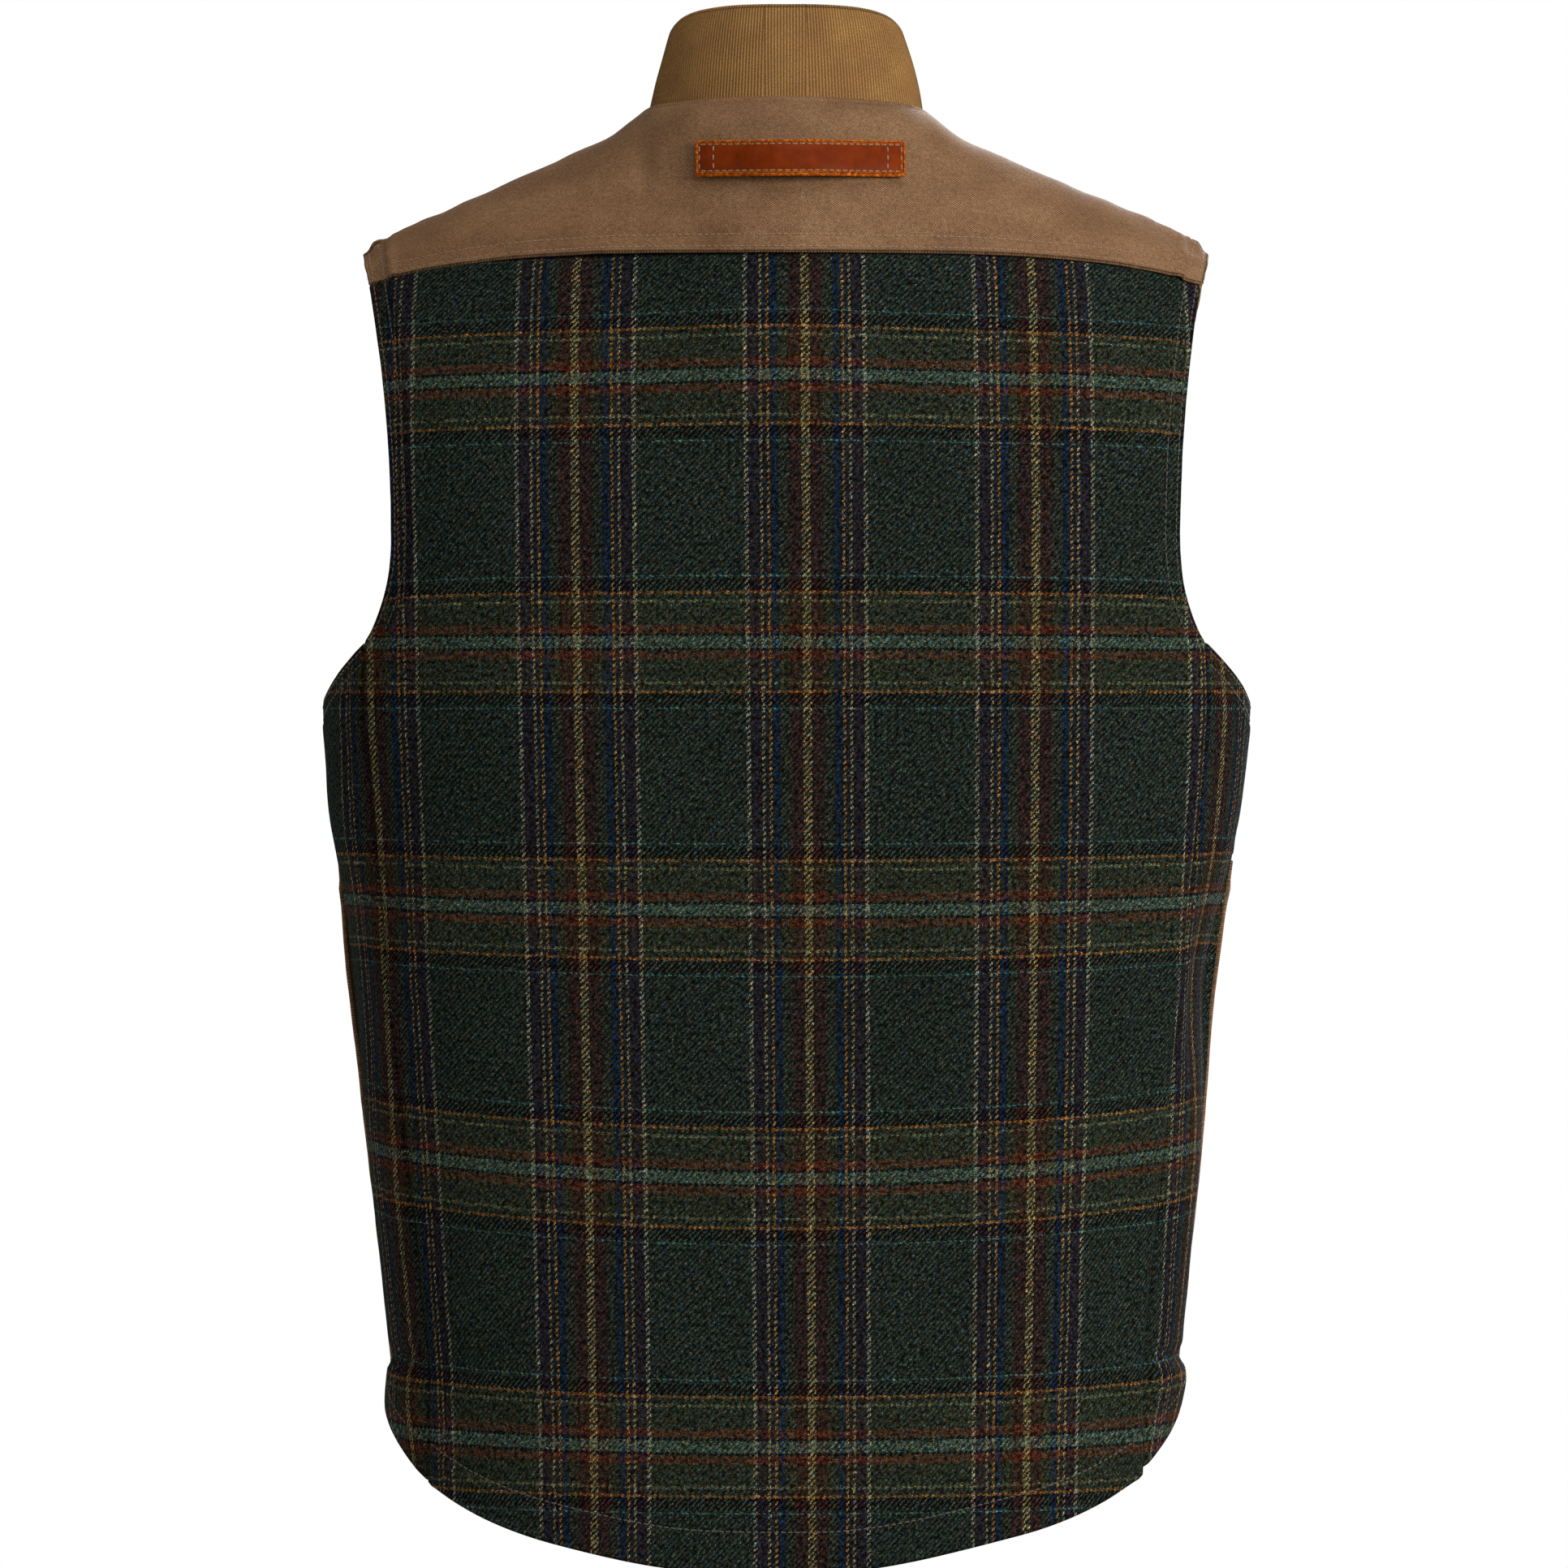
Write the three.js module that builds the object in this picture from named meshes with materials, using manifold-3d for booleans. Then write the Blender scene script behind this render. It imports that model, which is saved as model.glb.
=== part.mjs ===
// A zip-front fishing vest: tweed back, sides and upper fronts, waxed-canvas yokes, lower fronts
// and pockets, a rib-knit stand collar, a leather net loop and a lining.
// Millimetres. +Z is up, the front faces -Y and the wearer's left is +X.
// Inside the model a height is measured up from the lowest point of the back hem; the whole
// group is then lowered, so that the origin lies in the neck opening, level with the shoulder tops.
import * as THREE from 'three';
import { mergeVertices } from 'three/addons/utils/BufferGeometryUtils.js';
import Module from 'manifold-3d';

const wasm = await Module();
wasm.setup();

// ---- driving dimensions -----------------------------------------------------------------
const shoulderHeight = 703.5;      // hem to the shoulder seam beside the collar
const chestHalfWidth = 225;        // half the width at the underarms
const hemHalfWidth = 191;          // half the width at the hips
const chestDrop = 292.5;           // shoulder seam to the height of the full width
const hipHeight = 100;             // height below which the sides run straight down
const backDepth = 118;             // centre line of the side to the shoulder blades
const waistBackDepth = 107;        // the same at the waist and hem
const waistHeight = 150;           // height below which the back runs straight down
const frontHemDepth = 102;         // centre line of the side to the zip at the hem
const zipLean = 0.03;              // how far the zip leans back for each mm that it climbs
const sectionPower = 2.5;          // squareness of the body's level sections
const closingPower = 2.2;          // squareness of the curve that closes over the shoulders
const closingDrop = 273.5;         // shoulder seam to where the body starts to close over
const shoulderDrop = 67.7;         // fall of the shoulder line from the neck to the armhole
const shoulderDip = 4;             // hollow of the shoulder line between neck and tip
const shoulderDipSpan = 89;        // width of that hollow

const neckHalfWidth = 66;
const neckBackDepth = 49;
const neckBackRise = 4.5;          // collar seam at the nape, above the shoulder seam
const neckFrontDrop = 48.5;        // collar seam at the zip, below the shoulder seam
const neckFrontPower = 0.35;       // squareness of the neckline in front
const collarStand = 50.5;          // collar's edge at the nape, above the shoulder seam
const collarDrop = 51;             // how much lower the collar's edge is at the zip
const collarDropPower = 1.67;
const collarTaper = 0.88;          // width of the collar's edge over that of its seam
const collarLean = 0.8;            // depth of the collar's edge over that of its seam, behind
const collarStraightAngle = 60;    // the taper dies out over this many degrees before the zip
const collarBow = 2;               // how far the collar's sides bow out
const collarThickness = 4;
const collarCover = 0.75;          // share of its thickness that lies over the panels

const yokeDrop = 69.5;             // shoulder seam to the back yoke's lower edge, at the centre
const yokeSideDrop = 14;           // how far that edge falls at the armholes
const frontYokeDrop = 103.5;       // shoulder seam to the front yokes' lower edge
const waistSeamHeight = 340;       // seam between tweed fronts and canvas lower fronts
const hemDrop = 76;                // drop of the back hem below the side and front hem

const armholeInset = 34.2;         // how far the armholes cut in from the chest's half width
const armholeNarrowDrop = 203.5;   // shoulder seam to that narrowest place
const armholeTopFlare = 10.6;      // extra half width at the yoke's lower edge
const armholeDrop = 287.5;         // shoulder seam to the armhole's lowest point
const sideSeamDrop = 257.5;        // shoulder seam to where the side seams meet the armhole
const backSeamAngle = 61.4;        // degrees round the section, from the centre back
const frontSeamAngle = 95;

const shellThickness = 2.5;        // tweed or canvas
const liningThickness = 1.2;
const liningMargin = 3;            // a lining stops this far short of the seams round it
const layerGap = 0.3;              // between two cloths laid on each other
const seamGap = 0.5;               // between two cloths sewn edge to edge
const shoulderGap = 0.8;           // the same along the shoulder seams
const collarGap = 1.2;             // between the collar and the cloth that it stands on
const appliedGap = 0.6;            // between a panel and what is sewn on it

const zipEdge = 8;                 // centre line to the edge of each front
const tapeThickness = 0.8;
const tapeReach = 15;              // centre line to the tape's hidden edge
const chainGap = 1;                // between the two rows of teeth
const chainWidth = 3.5;
const chainThickness = 3;
const chainEnd = 6;                // plain tape below and above the teeth
const chainTopGap = 4;             // zip's top end to the collar's edge
const tapeNarrowing = 58;          // length below the neck seam over which the tape is narrow
const stopLength = 3;
const stopInset = 0.8;             // a top stop is this much narrower than the teeth
const pinWidth = 2;
const pinReach = 4;                // the pin runs this far below the tape
const boxReach = 6;                // and its box this far
const sliderLength = 14;
const sliderWidth = 11;
const sliderPlate = 1.3;
const sliderPost = 0.4;
const sliderClear = 0.4;
const crownHeight = 4.4;
const crownLength = 8;
const crownWidth = 2.4;
const crownWall = 1.4;
const weld = 0.2;                  // how far the crown runs into the slider's plate
const tabLength = 32;
const tabWidth = 8;
const tabThickness = 1.6;
const tabBar = 1.6;
const tabCorner = 2;
const tabWindowWidth = 4;
const tabWindowLength = 6;

// Pockets: `inner` and `outer` are distances from the centre line, `mouth` is the mouth's height,
// and the flap hangs `drop` from a hinge line `rise` above the mouth.
const chestPocketDrop = 191.5;     // shoulder seam to the chest pockets' mouths
const chestPocket = {
  inner: 32,
  outer: 132,
  mouth: shoulderHeight - chestPocketDrop,
  height: 108,
  depth: 15,
  rise: 14,
  drop: 44,
};
const lowerPocket = { inner: 32, outer: 150, mouth: 250, height: 154, depth: 20, rise: 16, drop: 58 };
const pocketWall = 1.6;
const mouthCut = 10;               // the room is cut this far past the mouth, to open it
const flapThickness = 2.5;
const snapRoom = 2.4;              // between a pocket and the flap that lies over it
const flapOverhang = 3;            // a flap is this much wider than its pocket on each side
const kneeRise = 1;                // a flap is clear of its pocket this far above the mouth
const snapRise = 14;               // a flap's edge to the middle of its snaps
const snapSeat = 0.4;              // between a snap and the cloth that carries it
const snapRadius = 7.5;
const snapHeight = 2.2;
const studRadius = 4.5;

const loopLength = 102;
const loopWidth = 19;
const loopThickness = 2.4;
const loopCentre = -7;             // the loop is sewn a little to the wearer's right
const loopDrop = 26.5;             // shoulder seam to the loop's middle
const loopBow = 3.6;               // gap under the loop's middle
const loopFlat = 9;                // half the length of its flat middle
const loopEndTab = 12;             // length that is sewn down at each end

// ---- heights that follow from them --------------------------------------------------------
const chestHeight = shoulderHeight - chestDrop;
const closingHeight = shoulderHeight - closingDrop;
const collarBackTop = shoulderHeight + collarStand;
const yokeHeight = shoulderHeight - yokeDrop;
const frontYokeHeight = shoulderHeight - frontYokeDrop;
const armholeNarrowHeight = shoulderHeight - armholeNarrowDrop;
const armholeFloor = shoulderHeight - armholeDrop;
const sideSeamTop = shoulderHeight - sideSeamDrop;
const loopHeight = shoulderHeight - loopDrop;
const armholeHalfWidth = chestHalfWidth - armholeInset;
const shoulderTip = armholeHalfWidth + armholeTopFlare;
const shoulderSlope = shoulderDrop / (shoulderTip - neckHalfWidth);

// ---- finishes ----------------------------------------------------------------------------
const finish = (color, roughness, metalness = 0) =>
  new THREE.MeshStandardMaterial({ color, roughness, metalness, side: THREE.DoubleSide });
const tweed = finish(0x3c443a, 0.95);
const canvas = finish(0x8a7460, 0.8);
const rib = finish(0xa08c64, 0.9);
const leather = finish(0x9a5a30, 0.5);
const lining = finish(0x4a4238, 0.85);
const tape = finish(0x54483a, 0.9);
const brass = finish(0x8a7448, 0.4, 1);

const radians = THREE.MathUtils.degToRad;
const clamp01 = (value) => Math.min(1, Math.max(0, value));
const mix = (from, to, share) => from + (to - from) * share;
const smooth = (value) => clamp01(value) ** 2 * (3 - 2 * clamp01(value));
const steps = (count) => Array.from({ length: count + 1 }, (_, index) => index / count);

// ---- the body that every panel follows ----------------------------------------------------
function halfWidth(height) {
  const share = clamp01((height - hipHeight) / (chestHeight - hipHeight));
  return mix(hemHalfWidth, chestHalfWidth, share);
}

function backHalfDepth(height) {
  const share = smooth((height - waistHeight) / (closingHeight - waistHeight));
  return mix(waistBackDepth, backDepth, share);
}

// The zip runs straight, so the centre front is a straight line.
function zipDepth(height) {
  return frontHemDepth - zipLean * (height - hemDrop);
}

function neckShare(x) {
  return Math.sqrt(Math.max(0, 1 - (x / neckHalfWidth) ** 2));
}

// Height of the shoulder seam, or of the collar seam between the shoulders.
function topHeight(x, isBack) {
  const reach = Math.abs(x);
  if (reach < neckHalfWidth) {
    const rise = isBack ? neckBackRise * neckShare(x) ** 2 : -neckFrontDrop * neckShare(x);
    return shoulderHeight + rise;
  }
  const out = reach - neckHalfWidth;
  const along = clamp01(out / shoulderDipSpan);
  return shoulderHeight - shoulderSlope * out - shoulderDip * Math.sin(Math.PI * along);
}

// Depth of the collar seam from the shoulder seam, positive both ways.
function neckDepth(x, isBack) {
  const frontDepth = zipDepth(shoulderHeight - neckFrontDrop);
  return isBack ? neckBackDepth * neckShare(x) : frontDepth * neckShare(x) ** (2 * neckFrontPower);
}

// Depth at the top of a column of the body: the panel runs on a little under the collar.
function columnEnd(x, isBack) {
  return Math.max(0, neckDepth(x, isBack) - collarCover * collarThickness);
}

function levelDepth(x, height, isBack) {
  const depth = isBack ? backHalfDepth(height) : zipDepth(Math.min(height, closingHeight));
  const share = Math.min(1, Math.abs(x) / halfWidth(height));
  return depth * (1 - share ** sectionPower) ** (1 / sectionPower);
}

function closing(x, height, isBack) {
  const span = topHeight(x, isBack) - closingHeight;
  return clamp01((height - closingHeight) / span);
}

function rawDepth(x, height, isBack) {
  const end = columnEnd(x, isBack);
  const share = (1 - closing(x, height, isBack) ** closingPower) ** (1 / closingPower);
  return end + (levelDepth(x, height, isBack) - end) * share;
}

// The front is set straight along the zip, and the change fades out towards the neck's side.
function bodyDepth(x, height, isBack) {
  const depth = rawDepth(x, height, isBack);
  if (isBack) return depth;
  const level = Math.min(height, shoulderHeight - neckFrontDrop);
  return depth + (zipDepth(level) - rawDepth(0, level, false)) * neckShare(x) ** 4;
}

function bodyPoint(x, height, isBack) {
  return new THREE.Vector3(x, (isBack ? 1 : -1) * bodyDepth(x, height, isBack), height);
}

// Width at an angle round the section, measured from the centre back or the centre front.
function widthAtAngle(degrees, height) {
  return halfWidth(height) * Math.sin(radians(degrees)) ** (2 / sectionPower);
}

function angleAtWidth(x, height) {
  return THREE.MathUtils.radToDeg(Math.asin(clamp01(x / halfWidth(height)) ** (sectionPower / 2)));
}

function backHem(degrees) {
  return degrees < 90 ? hemDrop * (1 - Math.cos(radians(degrees))) : hemDrop;
}

function armholeFloorAt(degrees) {
  const away = Math.abs(90 - degrees) / (90 - backSeamAngle);
  return armholeFloor + (sideSeamTop - armholeFloor) * away ** 1.4;
}

// The armhole's edge flares up to the yoke's lower edge and down to the top of the side seam.
function armholeWidth(height) {
  if (height > armholeNarrowHeight) {
    const span = yokeHeight - yokeSideDrop - armholeNarrowHeight;
    return armholeHalfWidth + armholeTopFlare * ((height - armholeNarrowHeight) / span) ** 2;
  }
  const flare = widthAtAngle(backSeamAngle, sideSeamTop) - armholeHalfWidth;
  const share = (armholeNarrowHeight - height) / (armholeNarrowHeight - sideSeamTop);
  return armholeHalfWidth + flare * share ** 2.4;
}

// Width of the back and of the fronts: the seam with the side panel, then the armhole.
function backEdge(height) {
  return height < sideSeamTop ? widthAtAngle(backSeamAngle, height) : armholeWidth(height);
}

function frontEdge(height) {
  const seamAngle = 180 - frontSeamAngle;
  const seamTop = armholeFloorAt(seamAngle);
  if (height < seamTop) return widthAtAngle(seamAngle, height);
  if (height >= sideSeamTop) return armholeWidth(height);
  const away = ((height - armholeFloor) / (sideSeamTop - armholeFloor)) ** (1 / 1.4);
  return widthAtAngle(90 - (90 - backSeamAngle) * away, height);
}

// ---- closed shells over a grid --------------------------------------------------------------
const bodyMiddle = new THREE.Vector3(0, 0, chestHeight);

// Lays two skins over a grid of points, at the offsets `inner` and `outer` along the outward
// normal, and closes them round the edge. A margin draws the edge in along the grid. The normal is
// the surface's own, so two panels that meet at a seam stay apart by the seam's gap all through.
function shell(us, vs, pointAt, inner, outer, { middle = bodyMiddle, margin = 0 } = {}) {
  const grid = us.map((u) => vs.map((v) => pointAt(u, v)));
  const nudge = 0.02;
  const nudgeAt = (values, place) => {
    return nudge * (values[Math.min(place + 1, values.length - 1)] - values[Math.max(place - 1, 0)]);
  };
  const normalAt = (i, j) => {
    const du = nudgeAt(us, i);
    const dv = nudgeAt(vs, j);
    const alongU = pointAt(us[i] + du, vs[j]).sub(pointAt(us[i] - du, vs[j]));
    const alongV = pointAt(us[i], vs[j] + dv).sub(pointAt(us[i], vs[j] - dv));
    return alongU.cross(alongV).normalize();
  };
  const drawnIn = (i, j) => {
    const point = grid[i][j].clone();
    const inwardI = i === 0 ? 1 : i === us.length - 1 ? i - 1 : i;
    const inwardJ = j === 0 ? 1 : j === vs.length - 1 ? j - 1 : j;
    for (const neighbour of [grid[inwardI][j], grid[i][inwardJ]]) {
      const way = neighbour.clone().sub(grid[i][j]);
      if (way.length() > 0) point.addScaledVector(way.normalize(), margin);
    }
    return point;
  };
  const midI = us.length >> 1;
  const midJ = vs.length >> 1;
  const outwards = Math.sign(normalAt(midI, midJ).dot(grid[midI][midJ].clone().sub(middle)));
  const offsetAt = (offset, i, j) => (typeof offset === 'function' ? offset(us[i], vs[j]) : offset);
  const positions = [];
  for (const offset of [outer, inner]) {
    for (let i = 0; i < us.length; i += 1) {
      for (let j = 0; j < vs.length; j += 1) {
        const reach = outwards * offsetAt(offset, i, j);
        positions.push(...drawnIn(i, j).addScaledVector(normalAt(i, j), reach).toArray());
      }
    }
  }
  const rows = vs.length;
  const layer = us.length * rows;
  const index = [];
  const quad = (a, b, c, d) => {
    const corners = outwards > 0 ? [a, b, c, a, c, d] : [a, c, b, a, d, c];
    index.push(...corners);
  };
  for (let i = 0; i + 1 < us.length; i += 1) {
    for (let j = 0; j + 1 < rows; j += 1) {
      const a = i * rows + j;
      quad(a, a + rows, a + rows + 1, a + 1);
      quad(layer + a, layer + a + 1, layer + a + rows + 1, layer + a + rows);
    }
  }
  for (let i = 0; i + 1 < us.length; i += 1) {
    const low = i * rows;
    const high = low + rows - 1;
    quad(low, layer + low, layer + low + rows, low + rows);
    quad(high, high + rows, layer + high + rows, layer + high);
  }
  for (let j = 0; j + 1 < rows; j += 1) {
    const far = (us.length - 1) * rows + j;
    quad(j, j + 1, layer + j + 1, layer + j);
    quad(far, layer + far, layer + far + 1, far + 1);
  }
  const geometry = new THREE.BufferGeometry();
  geometry.setAttribute('position', new THREE.Float32BufferAttribute(positions, 3));
  geometry.setIndex(index);
  return geometry;
}

function mirrored(geometry) {
  const copy = geometry.clone().toNonIndexed();
  const position = copy.getAttribute('position');
  for (let corner = 0; corner < position.count; corner += 3) {
    const triangle = [0, 2, 1].map((pick) => {
      return new THREE.Vector3().fromBufferAttribute(position, corner + pick);
    });
    triangle.forEach((point, place) => position.setXYZ(corner + place, -point.x, point.y, point.z));
  }
  return mergeVertices(copy);
}

function solid(geometry) {
  const bare = geometry.clone();
  for (const name of Object.keys(bare.attributes)) {
    if (name !== 'position') bare.deleteAttribute(name);
  }
  const merged = mergeVertices(bare, 1e-4);
  const vertProperties = new Float32Array(merged.getAttribute('position').array);
  const triVerts = new Uint32Array(merged.getIndex().array);
  return new wasm.Manifold(new wasm.Mesh({ numProp: 3, vertProperties, triVerts }));
}

function fromSolid(body) {
  const mesh = body.getMesh();
  const geometry = new THREE.BufferGeometry();
  geometry.setAttribute('position', new THREE.Float32BufferAttribute(mesh.vertProperties, 3));
  geometry.setIndex(Array.from(mesh.triVerts));
  return geometry;
}

// ---- assembly -------------------------------------------------------------------------------
const vest = new THREE.Group();
vest.position.z = -shoulderHeight;

function add(name, geometry, material, parent = vest) {
  const mesh = new THREE.Mesh(geometry, material);
  mesh.name = name;
  parent.add(mesh);
  return mesh;
}

// The model's +X half is the wearer's left; its mirror image is the wearer's right.
function addPair(name, geometry, material) {
  add(`${name}_left`, geometry, material);
  add(`${name}_right`, mirrored(geometry), material);
}

const liningOuter = -(shellThickness + layerGap);
const frontLiningOuter = liningOuter - tapeThickness - layerGap;

// A lining follows the same rows and columns as the cloth outside it.
function liningShell(us, vs, pointAt, outer) {
  return shell(us, vs, pointAt, outer - liningThickness, outer, { margin: liningMargin });
}

function addLining(name, us, vs, pointAt, outer) {
  add(name, liningShell(us, vs, pointAt, outer), lining);
}

// Rows from the hem up: the panels that meet at a side seam share them, so that their edges agree.
const waistRows = 6;
const underarmRows = 2;
const armholeRows = 5;
const frontSeamTop = armholeFloorAt(frontSeamAngle);
const waistShare = (waistSeamHeight - hemDrop) / (frontSeamTop - hemDrop);
const seamRows = [
  ...steps(waistRows).map((share) => share * waistShare),
  ...steps(underarmRows).slice(1).map((share) => mix(waistShare, 1, share)),
];
const backRows = [...seamRows, ...steps(armholeRows).slice(1).map((share) => 1 + share)];

// Columns of the back, as shares of its half width: close together by the neck.
const halfColumns = [0, 0.12, 0.22, 0.3, neckHalfWidth / shoulderTip, 0.45, 0.6, 0.74, 0.87, 0.95, 1];
const backColumns = [...halfColumns.slice(1).map((share) => -share).reverse(), ...halfColumns];

function backYokeLine(x) {
  return yokeHeight - yokeSideDrop * (Math.abs(x) / shoulderTip) ** 4;
}

// v runs from 0 at the hem through 1 at the top of the side seams to 2 at the yoke.
function backPanelPoint(u, v) {
  let height = mix(0, sideSeamTop, v);
  let x = 0;
  for (let pass = 0; pass < 8; pass += 1) {
    x = u * (backEdge(height) - seamGap / 2);
    const low = backHem(angleAtWidth(Math.abs(x), height));
    const top = backYokeLine(x) - seamGap / 2;
    height = v < 1 ? mix(low, sideSeamTop, v) : mix(sideSeamTop, top, v - 1);
  }
  return bodyPoint(x, height, true);
}

// A point of a yoke: v runs from its lower edge to the shoulder seam or the collar seam.
function yokePoint(column, v, lowLine, isBack) {
  const reach = Math.abs(column);
  let x = column;
  const low = lowLine(x) + seamGap / 2;
  let height = low;
  for (let pass = 0; pass < 6; pass += 1) {
    if (reach > neckHalfWidth) {
      const share = (reach - neckHalfWidth) / (armholeWidth(low) - neckHalfWidth);
      x = Math.sign(column) * mix(neckHalfWidth, armholeWidth(height), share);
    }
    const top = topHeight(x, isBack);
    const from = Math.asin(clamp01((low - closingHeight) / (top - closingHeight)) ** (closingPower / 2));
    const span = Math.max(1, levelDepth(x, top, isBack) - columnEnd(x, isBack));
    const to = Math.acos((shoulderGap / 2 / span) ** (closingPower / 2));
    height = closingHeight + (top - closingHeight) * Math.sin(mix(from, to, v)) ** (2 / closingPower);
  }
  return bodyPoint(x, height, isBack);
}

const yokeRows = steps(7);
add('back_panel', shell(backColumns, backRows, backPanelPoint, -shellThickness, 0), tweed);
addLining('back_lining', backColumns, backRows, backPanelPoint, liningOuter);

const backYokePoint = (u, v) => yokePoint(u * shoulderTip, v, backYokeLine, true);
add('back_yoke', shell(backColumns, yokeRows, backYokePoint, -shellThickness, 0), canvas);
addLining('back_yoke_lining', backColumns, yokeRows, backYokePoint, liningOuter);

// Side panels: from the back seam, round the side, to the front seam, half a gap short of each.
const seamPoints = [[backSeamAngle, true], [180 - frontSeamAngle, false]].map(([degrees, isBack]) => {
  return bodyPoint(widthAtAngle(degrees, chestHeight), chestHeight, isBack);
});
const sideInset = seamGap / 2 / seamPoints[0].distanceTo(seamPoints[1]);

function sidePanelPoint(u, v) {
  const degrees = mix(backSeamAngle, frontSeamAngle, u);
  const low = backHem(degrees);
  const height = mix(low, armholeFloorAt(degrees), v);
  const angle = mix(backSeamAngle, frontSeamAngle, mix(sideInset, 1 - sideInset, u));
  const x = widthAtAngle(angle, height);
  return bodyPoint(x, height, angle < 90);
}
const sideColumns = steps(6);
addPair('side_panel', shell(sideColumns, seamRows, sidePanelPoint, -shellThickness, 0), tweed);
addPair('side_lining', liningShell(sideColumns, seamRows, sidePanelPoint, liningOuter), lining);

// Fronts: columns run from the zip to the side seam or the armhole.
const frontRef = armholeWidth(frontYokeHeight);
const neckColumns = [10, 22, 40, 58, 73].map((degrees) => neckHalfWidth * Math.sin(radians(degrees)));
const outerShares = [0, 0.14, 0.32, 0.5, 0.68, 0.83, 0.94, 1];
const outerColumns = outerShares.map((share) => mix(neckHalfWidth, frontRef, share));
const frontColumns = [zipEdge, ...neckColumns, ...outerColumns];

function frontPoint(column, height) {
  const share = (column - zipEdge) / (frontRef - zipEdge);
  const x = zipEdge + (frontEdge(height) - seamGap / 2 - zipEdge) * share;
  return bodyPoint(x, height, false);
}
const lowerRows = steps(waistRows).map((share) => mix(hemDrop, waistSeamHeight - seamGap / 2, share));
const upperRows = [
  ...steps(underarmRows).map((share) => mix(waistSeamHeight + seamGap / 2, frontSeamTop, share)),
  ...steps(armholeRows).slice(1).map((share) => mix(frontSeamTop, frontYokeHeight - seamGap / 2, share)),
];
addPair('lower_front', shell(frontColumns, lowerRows, frontPoint, -shellThickness, 0), canvas);
addPair('upper_front', shell(frontColumns, upperRows, frontPoint, -shellThickness, 0), tweed);
const frontRows = [...lowerRows, ...upperRows];
addPair('front_lining', liningShell(frontColumns, frontRows, frontPoint, frontLiningOuter), lining);
const frontYokePoint = (u, v) => yokePoint(u, v, () => frontYokeHeight, false);
addPair('front_yoke', shell(frontColumns, yokeRows, frontYokePoint, -shellThickness, 0), canvas);

// Collar: a stand of doubled rib knit on the collar seam, in three lengths that meet at the
// shoulder seams. The angle runs from the nape, 0, to the zip, 180.
const collarZipEdge = zipEdge + 3 * seamGap;

function collarPoint(degrees, v) {
  const angle = radians(degrees);
  const isBack = degrees < 90;
  const seamX = neckHalfWidth * Math.sin(angle);
  const share = Math.sin(angle / 2) ** 2;
  const low = new THREE.Vector3(seamX, 0, topHeight(Math.min(seamX, neckHalfWidth - 1e-6), isBack));
  low.y = (isBack ? 1 : -1) * neckDepth(seamX, isBack);
  low.z += collarGap;
  const topZ = collarBackTop - collarDrop * share ** collarDropPower;
  const frontY = -zipDepth(topZ) * Math.abs(Math.cos(angle)) ** (2 * neckFrontPower);
  const topY = isBack ? low.y * collarLean : frontY;
  const fading = clamp01((degrees - 180 + collarStraightAngle) / collarStraightAngle);
  const topX = Math.max(seamX * mix(collarTaper, 1, fading), Math.min(seamX, collarZipEdge));
  const bow = collarBow * Math.sin(Math.PI * v) * Math.sin(angle);
  return new THREE.Vector3(mix(low.x, topX, v) + bow, mix(low.y, topY, v), mix(low.z, topZ, v));
}
const collarRows = steps(4);
const collarSplit = 90;
const splitGap = 0.3;              // degrees on each side of the split
const collarMiddle = new THREE.Vector3(0, 0, shoulderHeight);
function collarShell(columns, pointAt) {
  return shell(columns, collarRows, pointAt, -collarThickness, 0, { middle: collarMiddle });
}
const collarBackColumns = steps(16).map((u) => mix(-collarSplit + splitGap, collarSplit - splitGap, u));
const collarBackPoint = (degrees, v) => {
  const point = collarPoint(Math.abs(degrees), v);
  point.x *= Math.sign(degrees) || 1;
  return point;
};
add('collar_back', collarShell(collarBackColumns, collarBackPoint), rib);
const collarFrontEnd = 180 - THREE.MathUtils.radToDeg(Math.asin(collarZipEdge / neckHalfWidth));
const collarFrontColumns = steps(12).map((u) => mix(collarSplit + splitGap, collarFrontEnd, u));
addPair('collar_front', collarShell(collarFrontColumns, collarPoint), rib);

// ---- zip: a straight frame whose z runs up the teeth and whose -y faces out ------------------
const zipFrame = new THREE.Group();
zipFrame.position.set(0, -frontHemDepth, hemDrop);
zipFrame.rotation.x = -Math.atan(zipLean);
vest.add(zipFrame);
const collarFrontTop = collarBackTop - collarDrop;
const zipLength = (collarFrontTop - hemDrop) * Math.hypot(1, zipLean) - chainTopGap;
const tapeDepth = shellThickness + layerGap + tapeThickness / 2;

function zipBox(name, xRange, yRange, zRange, material) {
  const sizes = [xRange, yRange, zRange].map(([low, high]) => high - low);
  const box = new THREE.BoxGeometry(...sizes);
  const mesh = add(name, box, material, zipFrame);
  mesh.position.set(...[xRange, yRange, zRange].map(([low, high]) => (low + high) / 2));
}

const neckZ = (shoulderHeight - neckFrontDrop - hemDrop) * Math.hypot(1, zipLean);
const tapeInner = chainGap / 2 + chainWidth + layerGap;
const tapeFace = [tapeDepth - tapeThickness / 2, tapeDepth + tapeThickness / 2];
const chainFace = [tapeDepth - chainThickness / 2, tapeDepth + chainThickness / 2];

function extruded(shape, depth) {
  return new THREE.ExtrudeGeometry(shape, { depth, bevelEnabled: false });
}

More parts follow.
